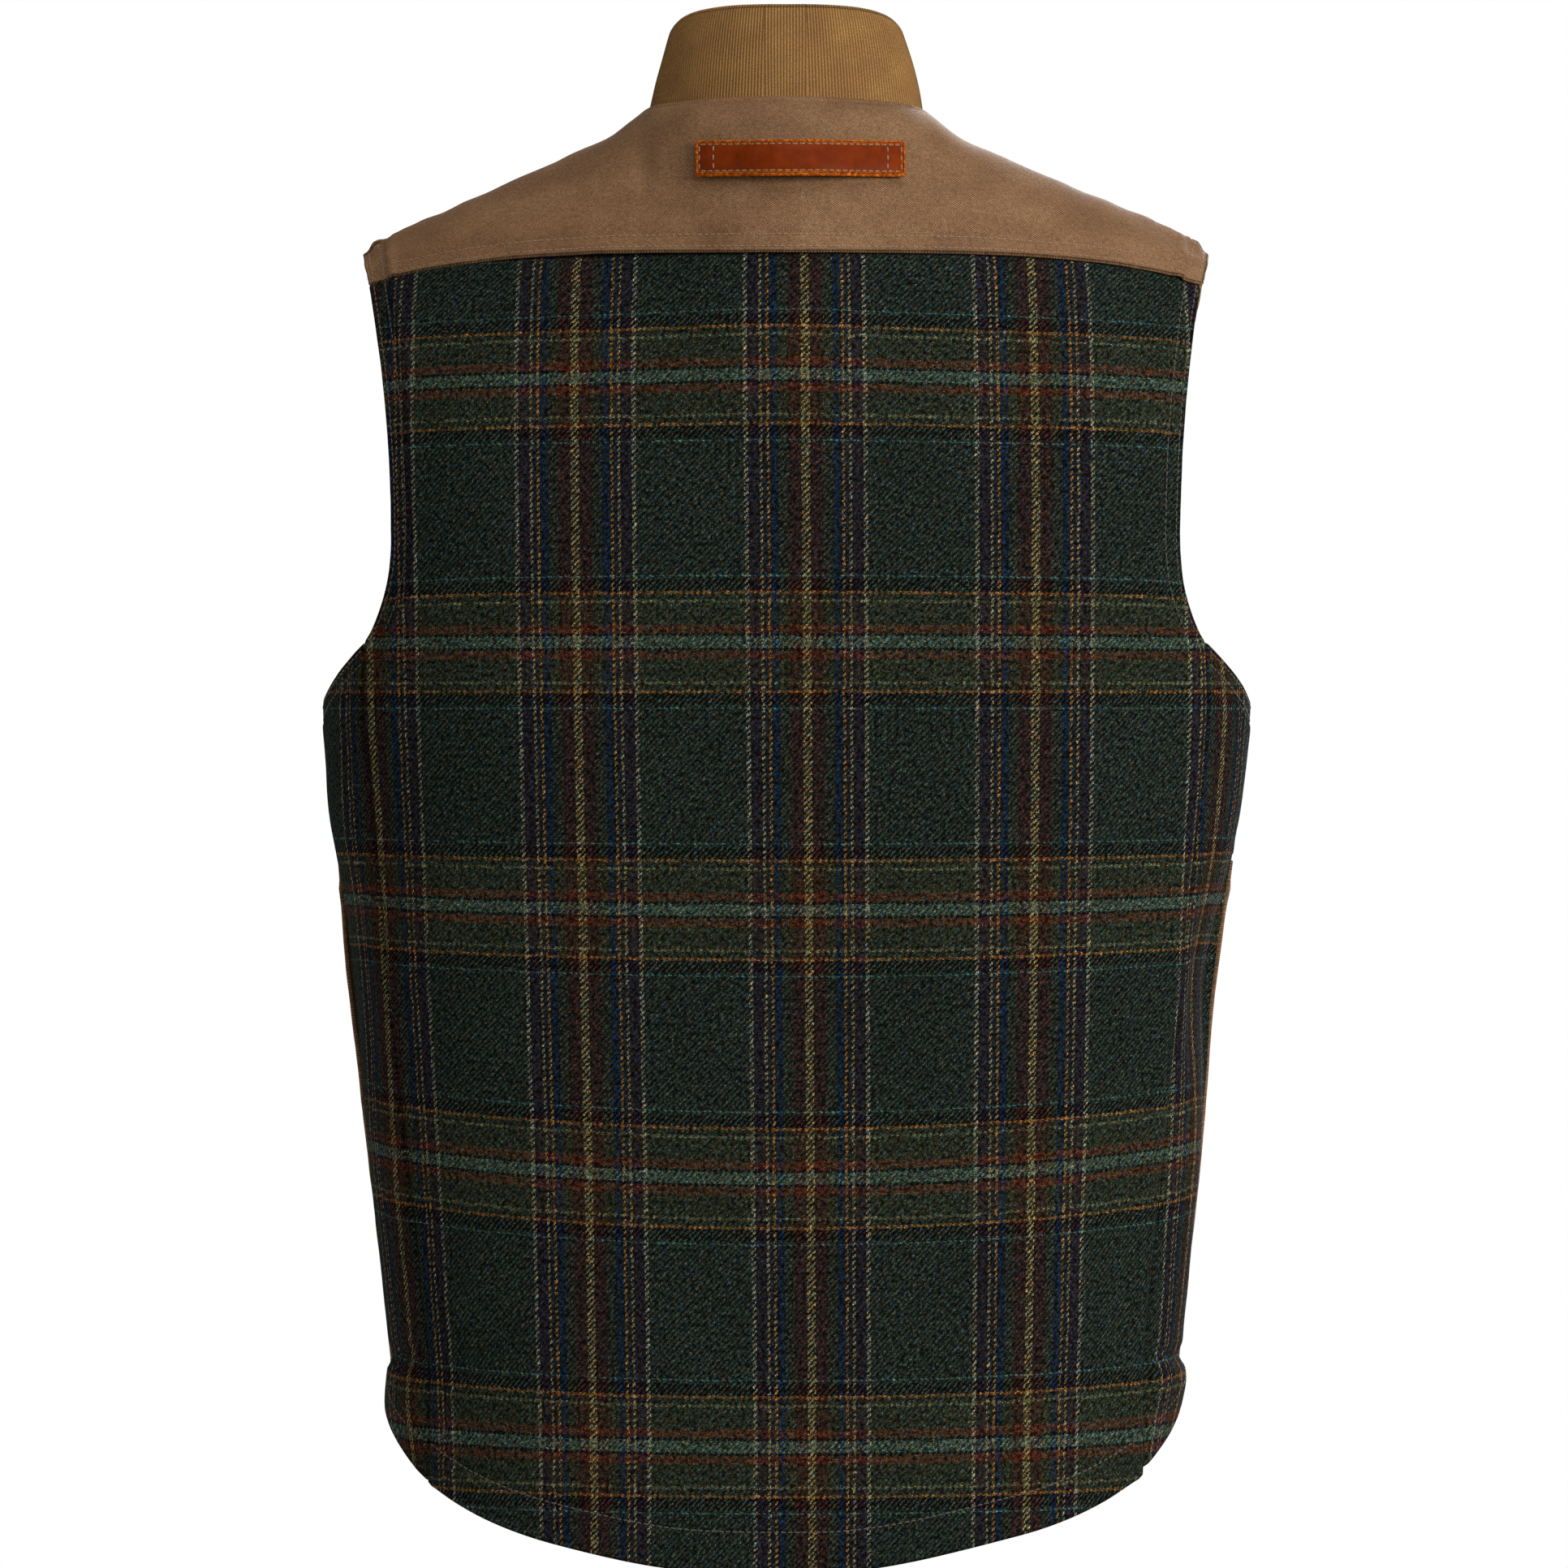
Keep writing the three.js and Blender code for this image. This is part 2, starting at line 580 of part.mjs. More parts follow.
// The tape runs in between a front and its lining, and is narrow where it passes the collar.
function tapeSolid(sign) {
  const narrow = zipEdge + seamGap;
  const wideTop = neckZ - tapeNarrowing;
  const foot = 1;
  const outline = [
    [tapeInner, foot], [tapeReach, foot], [tapeReach, wideTop], [narrow, wideTop],
    [narrow, zipLength], [tapeInner, zipLength],
  ].map(([x, z]) => new THREE.Vector2(sign * x, z));
  const geometry = extruded(new THREE.Shape(outline), tapeThickness);
  geometry.rotateX(Math.PI / 2);
  geometry.translate(0, tapeFace[1], 0);
  return geometry;
}
for (const [side, sign] of [['left', 1], ['right', -1]]) {
  const across = (near, far) => (sign > 0 ? [near, far] : [-far, -near]);
  add(`zip_tape_${side}`, tapeSolid(sign), tape, zipFrame);
  const teeth = [chainEnd, zipLength - chainEnd];
  zipBox(`zip_teeth_${side}`, across(chainGap / 2, chainGap / 2 + chainWidth), chainFace, teeth, brass);
  const stopLow = zipLength - chainEnd + layerGap;
  const stopWidth = across(chainGap / 2 + stopInset, chainGap / 2 + chainWidth);
  zipBox(`zip_top_stop_${side}`, stopWidth, chainFace, [stopLow, stopLow + stopLength], brass);
}
const pinTop = chainEnd - layerGap;
zipBox('zip_pin', [chainGap / 2, chainGap / 2 + pinWidth], chainFace, [-pinReach, pinTop], brass);
zipBox('zip_box', [-chainGap / 2 - chainWidth, -chainGap / 2], chainFace, [-boxReach, pinTop], brass);

// Slider: two plates joined by a post between the rows of teeth, and a crown that holds the tab.
function sliderSolid() {
  const half = sliderWidth / 2;
  const post = sliderPost / 2;
  const low = chainFace[0] - sliderClear;
  const high = chainFace[1] + sliderClear;
  const outline = [
    [-half, low - sliderPlate], [half, low - sliderPlate], [half, low], [post, low],
    [post, high], [half, high], [half, high + sliderPlate], [-half, high + sliderPlate],
    [-half, high], [-post, high], [-post, low], [-half, low],
  ].map(([x, y]) => new THREE.Vector2(x, y));
  const body = extruded(new THREE.Shape(outline), sliderLength);
  const rect = (near, far, deep, shallow) => {
    const corners = [[near, shallow], [near, -deep], [far, -deep], [far, shallow]];
    return corners.map(([z, y]) => new THREE.Vector2(z, y));
  };
  const arch = new THREE.Shape(rect(0, crownLength, crownHeight, weld));
  const eye = rect(crownWall, crownLength - crownWall, crownHeight - crownWall, -weld);
  arch.holes.push(new THREE.Path(eye));
  const crown = extruded(arch, crownWidth);
  crown.rotateY(-Math.PI / 2);
  crown.translate(crownWidth / 2, low - sliderPlate, (sliderLength - crownLength) / 2);
  return fromSolid(solid(body).add(solid(crown)));
}
const slider = add('zip_slider', sliderSolid(), brass, zipFrame);
slider.position.z = zipLength - chainEnd - sliderLength;

// Pull tab: it hangs from the crown by the bar above its window.
function tabSolid() {
  const half = tabWidth / 2;
  const outline = new THREE.Shape();
  outline.moveTo(-half + tabCorner, -tabLength);
  outline.lineTo(half - tabCorner, -tabLength);
  outline.lineTo(half, -tabLength + tabCorner);
  outline.lineTo(half, tabBar / 2);
  outline.lineTo(-half, tabBar / 2);
  outline.lineTo(-half, -tabLength + tabCorner);
  const inner = tabWindowWidth / 2;
  const path = [
    [-inner, -tabBar / 2], [inner, -tabBar / 2],
    [inner, -tabBar / 2 - tabWindowLength], [-inner, -tabBar / 2 - tabWindowLength],
  ];
  outline.holes.push(new THREE.Path(path.map(([x, y]) => new THREE.Vector2(x, y))));
  const geometry = extruded(outline, tabThickness);
  geometry.translate(0, 0, -tabThickness / 2);
  geometry.rotateX(Math.PI / 2);
  return geometry;
}
const tab = add('zip_pull_tab', tabSolid(), brass, zipFrame);
const crownFace = chainFace[0] - sliderClear - sliderPlate;
const eyeMiddle = crownFace - (crownHeight - crownWall + weld) / 2;
tab.position.set(0, eyeMiddle, slider.position.z + sliderLength / 2);

// ---- pockets, flaps and snaps -----------------------------------------------------------------
const pocketColumns = steps(8);

function pocketSolid(pocket) {
  const pointFrom = (inset, top) => (u, v) => {
    const x = mix(pocket.inner + inset, pocket.outer - inset, u);
    return bodyPoint(x, mix(pocket.mouth - pocket.height + inset, top, v), false);
  };
  const rows = steps(5);
  const face = appliedGap + pocket.depth;
  const outside = shell(pocketColumns, rows, pointFrom(0, pocket.mouth), appliedGap, face);
  const room = shell(
    pocketColumns,
    rows,
    pointFrom(pocketWall, pocket.mouth + mouthCut),
    appliedGap + pocketWall,
    face - pocketWall,
  );
  return fromSolid(solid(outside).subtract(solid(room)));
}

function flapSolid(pocket) {
  const hinge = pocket.mouth + pocket.rise;
  const pointAt = (u, v) => {
    const x = mix(pocket.inner - flapOverhang, pocket.outer + flapOverhang, u);
    return bodyPoint(x, hinge - pocket.drop * v, false);
  };
  const lift = pocket.depth + snapRoom;
  const knee = (pocket.rise - kneeRise) / pocket.drop;
  const rows = [0, knee / 2, knee, mix(knee, 1, 0.33), mix(knee, 1, 0.67), 1];
  const inner = (u, v) => appliedGap + lift * clamp01(v / knee);
  const outer = (u, v) => inner(u, v) + flapThickness;
  return shell(pocketColumns, rows, pointAt, inner, outer);
}

// A button on the body's front: its flat side faces the cloth, `offset` out from the panel.
function snapPart(radius, thickness, x, height, offset) {
  const profile = [
    [0, 0], [radius, 0], [radius, thickness * 0.5], [radius * 0.8, thickness], [0, thickness],
  ].map(([r, z]) => new THREE.Vector2(r, z));
  const geometry = new THREE.LatheGeometry(profile, 16);
  geometry.rotateX(Math.PI / 2);
  const at = bodyPoint(x, height, false);
  const alongX = bodyPoint(x + 1, height, false).sub(at);
  const alongZ = bodyPoint(x, height + 1, false).sub(at);
  const normal = alongX.cross(alongZ).normalize();
  const turn = new THREE.Quaternion().setFromUnitVectors(new THREE.Vector3(0, 0, 1), normal);
  geometry.applyQuaternion(turn);
  const place = at.addScaledVector(normal, offset);
  geometry.translate(place.x, place.y, place.z);
  return geometry;
}

function addPocket(name, pocket, snapShares) {
  addPair(`${name}_pocket`, pocketSolid(pocket), canvas);
  addPair(`${name}_flap`, flapSolid(pocket), canvas);
  const height = pocket.mouth + pocket.rise - pocket.drop + snapRise;
  const cover = appliedGap + pocket.depth + snapRoom + flapThickness;
  snapShares.forEach((share, place) => {
    const x = mix(pocket.inner, pocket.outer, share);
    const mark = snapShares.length > 1 ? `_${place + 1}` : '';
    const cap = snapPart(snapRadius, snapHeight, x, height, cover + snapSeat);
    addPair(`${name}_snap_cap${mark}`, cap, brass);
    const studBase = appliedGap + pocket.depth + layerGap;
    const studHeight = snapRoom - 2 * layerGap - snapSeat;
    const stud = snapPart(studRadius, studHeight, x, height, studBase);
    addPair(`${name}_snap_stud${mark}`, stud, brass);
  });
}
addPocket('chest', chestPocket, [0.5]);
addPocket('lower', lowerPocket, [0.18, 0.82]);

// ---- leather net loop ---------------------------------------------------------------------------
// It lies across the yoke, sewn down at both ends and standing off it in the middle.
function loopSolid() {
  const seat = bodyPoint(0, loopHeight, true);
  const below = bodyPoint(0, loopHeight - loopWidth / 2, true);
  const above = bodyPoint(0, loopHeight + loopWidth / 2, true);
  const along = above.clone().sub(below).normalize();
  const out = new THREE.Vector3(1, 0, 0).cross(along).negate().normalize();
  const clearOf = (x) => {
    const levels = [-0.5, 0, 0.5].map((share) => {
      const height = loopHeight + share * loopWidth;
      return bodyPoint(loopCentre + x, height, true).sub(seat).dot(out);
    });
    return Math.max(...levels);
  };
  const half = loopLength / 2;
  const slope = half - loopEndTab - loopFlat;
  const side = [loopFlat, loopFlat + slope / 3, loopFlat + (2 * slope) / 3, half - loopEndTab, half];
  const stations = [...side.map((x) => -x).reverse(), ...side];
  const rise = (x) => {
    const inside = clamp01((half - loopEndTab - Math.abs(x)) / slope);
    return clearOf(x) + appliedGap + loopBow * smooth(inside);
  };
  const level = Math.max(rise(loopFlat), rise(-loopFlat));
  const underside = stations.map((x) => [x, Math.abs(x) <= loopFlat ? level : rise(x)]);
  const upper = underside.map(([x, r]) => [x, r + loopThickness]).reverse();
  const profile = new THREE.Shape([...underside, ...upper].map(([x, r]) => new THREE.Vector2(x, r)));
  const geometry = extruded(profile, loopWidth);
  geometry.translate(loopCentre, 0, -loopWidth / 2);
  const basis = new THREE.Matrix4().makeBasis(new THREE.Vector3(1, 0, 0), out, along.clone());
  geometry.applyMatrix4(basis);
  geometry.translate(seat.x, seat.y, seat.z);
  return geometry;
}
add('leather_loop', loopSolid(), leather);

export default vest;
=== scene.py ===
"""A zip-front fishing vest in plaid tweed and waxed canvas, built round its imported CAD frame.

Lengths inside the classes are millimetres and heights run up from the lowest point of the back
hem; `make_object` turns them into the frame's metres. The front faces -Y and
the wearer's left is +X.
"""

import logging
import math
from dataclasses import dataclass, field
from enum import Enum
from typing import Callable, Sequence

import bpy
import numpy as np
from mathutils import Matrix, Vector


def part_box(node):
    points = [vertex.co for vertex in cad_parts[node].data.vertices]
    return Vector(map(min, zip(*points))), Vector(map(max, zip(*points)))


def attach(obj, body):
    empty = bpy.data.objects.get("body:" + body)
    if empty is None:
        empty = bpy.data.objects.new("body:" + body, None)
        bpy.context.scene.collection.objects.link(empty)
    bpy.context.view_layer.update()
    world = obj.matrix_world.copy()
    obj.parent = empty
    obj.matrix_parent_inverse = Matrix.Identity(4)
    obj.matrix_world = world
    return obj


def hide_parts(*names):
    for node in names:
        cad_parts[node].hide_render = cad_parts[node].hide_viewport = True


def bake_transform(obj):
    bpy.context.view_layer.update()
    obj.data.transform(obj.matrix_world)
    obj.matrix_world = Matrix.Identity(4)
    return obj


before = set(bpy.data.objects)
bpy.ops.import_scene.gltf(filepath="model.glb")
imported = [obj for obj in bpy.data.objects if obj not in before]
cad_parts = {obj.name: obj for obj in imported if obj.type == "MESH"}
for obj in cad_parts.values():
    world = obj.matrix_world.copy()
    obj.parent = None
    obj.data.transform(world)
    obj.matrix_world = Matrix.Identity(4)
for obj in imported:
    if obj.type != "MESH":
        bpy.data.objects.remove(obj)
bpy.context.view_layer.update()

log = logging.getLogger("fishing_vest")
MM = 0.001
Array = np.ndarray


class Side(Enum):
    """The wearer's left is +X, the wearer's right is -X."""

    LEFT = 1
    RIGHT = -1

    @property
    def tag(self) -> str:
        """The side's word, as it ends a piece's name."""
        return self.name.lower()


class Held(Enum):
    """How a sheet of cloth is held."""

    HUNG = "hung"
    STRETCHED = "stretched"


def mix(low: Array | float, high: Array | float, share: Array | float) -> Array | float:
    """The value `share` of the way from low to high."""
    return low + (high - low) * share


def smooth(value: Array | float, start: float = 0.0, end: float = 1.0) -> Array:
    """Smoothstep: 0 before start, 1 after end, with no corner between."""
    t = np.clip((np.asarray(value, float) - start) / (end - start), 0.0, 1.0)
    return t * t * (3.0 - 2.0 * t)


def bump(value: Array | float, centre: float, width: float) -> Array:
    """A bell: exp(-((value - centre) / width)^2)."""
    return np.exp(-(((np.asarray(value, float) - centre) / width) ** 2))


def spaced(*stretches: tuple[float, float, int]) -> Array:
    """One rising list of values from stretches of (start, end, number of steps)."""
    parts = [np.linspace(a, b, n, endpoint=False) for a, b, n in stretches]
    return np.concatenate([*parts, [stretches[-1][1]]])


def soft_noise(x: Array, y: Array, pitch: float, seed: int = 0) -> Array:
    """Value noise from -1 to 1: fixed random values on a square lattice of that pitch, joined
    smoothly, so that the same place always gets the same value."""
    table = np.random.default_rng(seed + 1).uniform(-1.0, 1.0, (64, 64))
    u, v = np.asarray(x, float) / pitch, np.asarray(y, float) / pitch
    i, j = np.floor(u).astype(int), np.floor(v).astype(int)
    a, b = smooth(u - i), smooth(v - j)
    i, j = i % 64, j % 64
    k, m = (i + 1) % 64, (j + 1) % 64
    return mix(mix(table[i, j], table[k, j], a), mix(table[i, m], table[k, m], a), b)


# ---- the body's form -------------------------------------------------------------------------


def high(node: str, axis: int) -> float:
    """The greatest coordinate of a CAD node, in millimetres."""
    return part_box(node)[1][axis] / MM


def low(node: str, axis: int) -> float:
    """The least coordinate of a CAD node, in millimetres."""
    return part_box(node)[0][axis] / MM


@dataclass(frozen=True)
class BodyForm:
    """The hollow form that every panel of the vest follows.

    A level section is a superellipse, |x/W|^p + |y/D|^p = 1, in a back half and a front half of
    different depth. Above `closing_height` the depth falls to nothing at the shoulder line, as
    (1 - t^q)^(1/q) with t the share of the way up, so the back and the front meet in a round
    ridge. Between the shoulders they end at the collar seam instead.
    """

    shoulder: float = round(-low("back_panel", 2), 1)
    chest_half_width: float = round(high("side_panel_left", 0), 1)
    collar_top: float = round(high("collar_back", 2) - low("back_panel", 2), 1)
    hem_half_width: float = 191.0
    hem_drop: float = round(low("lower_front_left", 2) - low("back_panel", 2), 1)
    hip_height: float = 100.0
    chest_drop: float = 292.5
    back_depth: float = 118.0
    waist_back_depth: float = 107.0
    waist_height: float = 150.0
    front_hem_depth: float = 102.0
    zip_lean: float = 0.03
    section_power: float = 2.5
    closing_power: float = 2.2
    closing_drop: float = 273.5
    shoulder_slope: float = 0.5
    shoulder_dip: float = 4.0
    shoulder_dip_span: float = 89.0
    neck_half_width: float = 66.0
    neck_back_depth: float = 49.0
    neck_back_rise: float = 4.5
    neck_front_drop: float = 48.5
    neck_front_power: float = 0.7
    seam_cover: float = 3.0
    back_seam: float = 61.4
    front_seam: float = 95.0
    side_seam_drop: float = 257.5
    armhole_drop: float = 287.5
    armhole_inset: float = 34.2
    armhole_narrow_drop: float = 203.5
    armhole_top_flare: float = 10.6
    armhole_top_span: float = 120.0
    yoke_drop: float = 69.5
    yoke_side_drop: float = 14.0
    front_yoke_drop: float = 103.5
    waist_seam: float = 340.0
    crease_fade: float = 60.0

    @property
    def closing_height(self) -> float:
        """Height at which the body starts to close over the shoulders."""
        return self.shoulder - self.closing_drop

    @property
    def side_top(self) -> float:
        """Height at which the back's side seams meet the armholes."""
        return self.shoulder - self.side_seam_drop

    @property
    def yoke(self) -> float:
        """Height of the back yoke's lower edge at the centre."""
        return self.shoulder - self.yoke_drop

    @property
    def front_yoke(self) -> float:
        """Height of the front yokes' lower edge."""
        return self.shoulder - self.front_yoke_drop

    def half_width(self, h: Array) -> Array:
        """Half the body's width: straight below the hips, then widening evenly to the chest."""
        chest = self.shoulder - self.chest_drop
        share = np.clip((h - self.hip_height) / (chest - self.hip_height), 0.0, 1.0)
        return mix(self.hem_half_width, self.chest_half_width, share)

    def back_half_depth(self, h: Array) -> Array:
        """Depth of the back half: shallower at the waist than at the shoulder blades."""
        return mix(self.waist_back_depth, self.back_depth, smooth(h, self.waist_height, self.closing_height))

    def zip_depth(self, h: Array) -> Array:
        """Depth of the straight, leaning line of the zip."""
        return self.front_hem_depth - self.zip_lean * (h - self.hem_drop)

    def neck_share(self, x: Array) -> Array:
        """1 on the centre line, 0 at the side of the neck, on a circle's curve."""
        return np.sqrt(np.maximum(0.0, 1.0 - (x / self.neck_half_width) ** 2))

    def true_top(self, x: Array, back: bool) -> Array:
        """Height of the shoulder seam, and of the collar seam between the shoulders."""
        reach = np.abs(x)
        share = self.neck_share(x)
        neck = self.neck_back_rise * share**2 if back else -self.neck_front_drop * share
        out = reach - self.neck_half_width
        dip = self.shoulder_dip * np.sin(np.pi * np.clip(out / self.shoulder_dip_span, 0.0, 1.0))
        return self.shoulder + np.where(out < 0.0, neck, -self.shoulder_slope * out - dip)

    def easy_top(self, x: Array, back: bool) -> Array:
        """The same line with its corner beside the neck rounded off, for the cloth lower down."""
        out = np.abs(x) - self.neck_half_width
        softened = 0.5 * (out + np.sqrt(out**2 + 40.0**2))
        neck = 3.5 if back else 3.5 - (self.neck_front_drop - 2.0) * np.exp(-((x / 46.0) ** 2))
        return self.shoulder + neck - 0.53 * softened

    def neck_depth(self, x: Array, back: bool) -> Array:
        """Depth of the collar seam, behind or in front of the shoulder seam."""
        if back:
            return self.neck_back_depth * self.neck_share(x)
        seam = self.zip_depth(self.shoulder - self.neck_front_drop)
        return seam * self.neck_share(x) ** self.neck_front_power

    def depth(self, x: Array, h: Array, back: bool) -> Array:
        """Depth of the body at a place: the level section's depth times the closing curve. Near
        the top the true seam line takes over from the eased one, so no crease runs down."""
        top_true, top_easy = self.true_top(x, back), self.easy_top(x, back)
        near = smooth((h - top_true) / self.crease_fade + 1.0)
        top = mix(top_easy, top_true, near)
        end_true = np.maximum(0.0, self.neck_depth(x, back) - self.seam_cover)
        centre_end = self.neck_depth(0.0, back) - self.seam_cover
        end_easy = centre_end * np.exp(-((np.abs(x) / (42.0 if back else 52.0)) ** 2.4))
        end = mix(end_easy, end_true, near)
        start = self.closing_height
        full = self.back_half_depth(h) if back else self.zip_depth(np.minimum(h, start))
        share = np.minimum(1.0, np.abs(x) / self.half_width(h))
        level = full * (1.0 - share**self.section_power) ** (1.0 / self.section_power)
        t = np.clip((h - start) / (top - start), 0.0, 1.0)
        closed = end + (level - end) * (1.0 - t**self.closing_power) ** (1.0 / self.closing_power)
        if back:
            return closed
        reach = np.minimum(h, self.shoulder - self.neck_front_drop)
        straight = self.zip_depth(reach) - self._centre_front(reach)
        return closed + straight * np.exp(-((x / 44.0) ** 2))

    def _centre_front(self, h: Array) -> Array:
        """Depth of the centre front before it is set straight along the zip."""
        start = self.closing_height
        top = mix(
            self.easy_top(0.0, False),
            self.true_top(0.0, False),
            smooth((h - self.true_top(0.0, False)) / self.crease_fade + 1.0),
        )
        end = self.neck_depth(0.0, False) - self.seam_cover
        level = self.zip_depth(np.minimum(h, start))
        t = np.clip((h - start) / (top - start), 0.0, 1.0)
        return end + (level - end) * (1.0 - t**self.closing_power) ** (1.0 / self.closing_power)

    def point(self, x: Array, h: Array, back: bool) -> Array:
        """Points of the body, (..., 3), in millimetres with z still measured from the hem."""
        x, h = np.broadcast_arrays(np.asarray(x, float), np.asarray(h, float))
        return np.stack([x, (1.0 if back else -1.0) * self.depth(x, h, back), h], axis=-1)

    def width_at(self, degrees: Array, h: Array) -> Array:
        """Width at an angle round the section, from the centre back or the centre front."""
        return self.half_width(h) * np.sin(np.radians(degrees)) ** (2.0 / self.section_power)

    def hem(self, degrees: Array) -> Array:
        """Height of the hem: a shirt-tail curve behind, level from the side forwards."""
        return self.hem_drop * (1.0 - np.cos(np.radians(np.minimum(degrees, 90.0))))

    def hem_at(self, x: Array) -> Array:
        """The same curve at a width of the back."""
        share = np.clip(np.abs(x) / self.hem_half_width, 0.0, 1.0)
        return self.hem_drop * (1.0 - np.sqrt(1.0 - share**self.section_power))

    def armhole_floor(self, degrees: Array) -> Array:
        """Height of the armhole's lower edge, lowest under the arm."""
        away = np.abs(90.0 - degrees) / (90.0 - self.back_seam)
        return self.shoulder - self.armhole_drop + (self.armhole_drop - self.side_seam_drop) * away**1.4

    def armhole_width(self, h: Array) -> Array:
        """Half the width between the armholes, narrowest above the underarm."""
        narrow = self.shoulder - self.armhole_narrow_drop
        least = self.chest_half_width - self.armhole_inset
        above = np.maximum(0.0, (h - narrow) / self.armhole_top_span)
        below = np.maximum(0.0, (narrow - h) / (narrow - self.side_top))
        flare = self.width_at(self.back_seam, self.side_top) - least
        return least + self.armhole_top_flare * above**2 + flare * below**2.4

    def back_edge(self, h: Array) -> Array:
        """Half width of the back panel: to the side seam, then to the armhole."""
        return np.where(h < self.side_top, self.width_at(self.back_seam, h), self.armhole_width(h))

    def front_edge(self, h: Array) -> Array:
        """Half width of a front: to its side seam, along the underarm, then to the armhole."""
        seam = 180.0 - self.front_seam
        seam_top = self.armhole_floor(seam)
        floor = self.shoulder - self.armhole_drop
        away = np.clip((h - floor) / (self.side_top - floor), 0.0, 1.0) ** (1.0 / 1.4)
        under = self.width_at(90.0 - (90.0 - self.back_seam) * away, h)
        lower = np.where(h < seam_top, self.width_at(seam, h), under)
        return np.where(h < self.side_top, lower, self.armhole_width(h))

    def yoke_line(self, x: Array) -> Array:
        """Height of the back yoke's lower edge, which falls towards the armholes."""
        return self.yoke - self.yoke_side_drop * (np.abs(x) / 201.4) ** 4


BODY = BodyForm()


# ---- meshes from grids -----------------------------------------------------------------------


def unit(vectors: Array) -> Array:
    """Vectors of length one along the last axis."""
    length = np.linalg.norm(vectors, axis=-1, keepdims=True)
    return vectors / np.maximum(length, 1e-12)


def grid_normals(grid: Array) -> Array:
    """Normals of a grid of points, as the cross product of its two directions."""
    return unit(np.cross(np.gradient(grid, axis=0), np.gradient(grid, axis=1)))


def outward_normals(grid: Array, middle: Sequence[float]) -> Array:
    """The grid's normals, turned to face away from a point inside."""
    normals = grid_normals(grid)
    facing = ((grid - np.asarray(middle)) * normals).sum(-1)
    return normals * (1.0 if np.median(facing) > 0 else -1.0)


def grid_faces(rows: int, columns: int, first: int = 0, flip: bool = False) -> Array:
    """Quads of a rows x columns grid of vertices numbered along the columns."""
    a = first + np.arange(rows - 1)[:, None] * columns + np.arange(columns - 1)[None, :]
    quads = np.stack([a, a + columns, a + columns + 1, a + 1], axis=-1).reshape(-1, 4)
    return quads[:, ::-1] if flip else quads


def make_object(
    name: str, points: Array, quads: Array, material: bpy.types.Material, uv: Array | None = None
) -> bpy.types.Object:
    """Puts vertices and quads into a smooth mesh object at the origin.

    Args:
        name: the piece's name.
        points: (n, 3) in millimetres, z measured from the hem.
        quads: (m, 4) vertex numbers, facing outwards.
        material: the piece's finish.
        uv: (n, 2) cloth coordinates in millimetres, stored in metres.

    Returns:
        The linked object.
    """
    name = f"{name}_piece" if name in bpy.data.objects else name
    place = points.copy()
    place[:, 2] -= BODY.shoulder
    mesh = bpy.data.meshes.new(name)
    mesh.vertices.add(len(place))
    mesh.vertices.foreach_set("co", (place * MM).astype(np.float32).ravel())
    mesh.loops.add(quads.size)
    mesh.loops.foreach_set("vertex_index", quads.astype(np.int32).ravel())
    mesh.polygons.add(len(quads))
    mesh.polygons.foreach_set("loop_start", np.arange(0, quads.size, 4, dtype=np.int32))
    mesh.polygons.foreach_set("use_smooth", np.ones(len(quads), bool))
    if uv is not None:
        layer = mesh.uv_layers.new(name="Cloth")
        layer.uv.foreach_set("vector", (uv[quads.ravel()] * MM).astype(np.float32).ravel())
    mesh.materials.append(material)
    mesh.update(calc_edges=True)
    mesh.validate()
    piece = bpy.data.objects.new(name, mesh)
    bpy.context.scene.collection.objects.link(piece)
    return piece


def ring_of(rows: int, columns: int) -> Array:
    """Numbers of the vertices round the edge of a grid, in order."""
    top = np.arange(columns)
    right = np.arange(1, rows) * columns + columns - 1
    bottom = (rows - 1) * columns + np.arange(columns - 2, -1, -1)
    left = np.arange(rows - 2, 0, -1) * columns
    return np.concatenate([top, right, bottom, left])


def closed_cloth(outer: Array, inner: Array, uv: Array, round_steps: int = 3) -> tuple[Array, Array, Array]:
    """A cloth with two skins and a rounded edge.

    The rim between the skins is a half circle: its middle stands out from the cloth's edge by
    half the thickness, and its points are centre + cos(a) * half + sin(a) * outwards.

    Args:
        outer: (rows, columns, 3) outer skin.
        inner: the inner skin, on the same grid.
        uv: (rows, columns, 2) cloth coordinates.
        round_steps: steps round the rim.

    Returns:
        Vertices, quads and cloth coordinates.
    """
    rows, columns = outer.shape[:2]
    count = rows * columns
    ring = ring_of(rows, columns)
    a, b = outer.reshape(-1, 3)[ring], inner.reshape(-1, 3)[ring]
    middle = 0.5 * (a + b)
    half = 0.5 * (a - b)
    along = unit(np.roll(a, -1, axis=0) - np.roll(a, 1, axis=0))
    away = unit(np.cross(along, half))
    mean = outer.reshape(-1, 3).mean(0)
    facing = ((a - mean) * away).sum(-1)
    away = away * (1.0 if np.median(facing) > 0 else -1.0)
    radius = np.linalg.norm(half, axis=-1, keepdims=True)
    angles = np.linspace(0.0, np.pi, round_steps + 1)[1:-1]
    rims = [middle + half * np.cos(t) + away * radius * np.sin(t) for t in angles]
    points = np.concatenate([outer.reshape(-1, 3), inner.reshape(-1, 3), *rims])
    flat_uv = uv.reshape(-1, 2)
    coords = np.concatenate([flat_uv, flat_uv, *[flat_uv[ring] for _ in angles]])
    between = [2 * count + k * len(ring) + np.arange(len(ring)) for k in range(len(angles))]
    loops = [ring, *between, ring + count]
    quads = [grid_faces(rows, columns), grid_faces(rows, columns, count, flip=True)]
    for near, far in zip(loops, loops[1:]):
        quads.append(np.stack([near, far, np.roll(far, -1), np.roll(near, -1)], axis=-1))
    quads = np.concatenate(quads)
    return points, facing_out(points, quads), coords


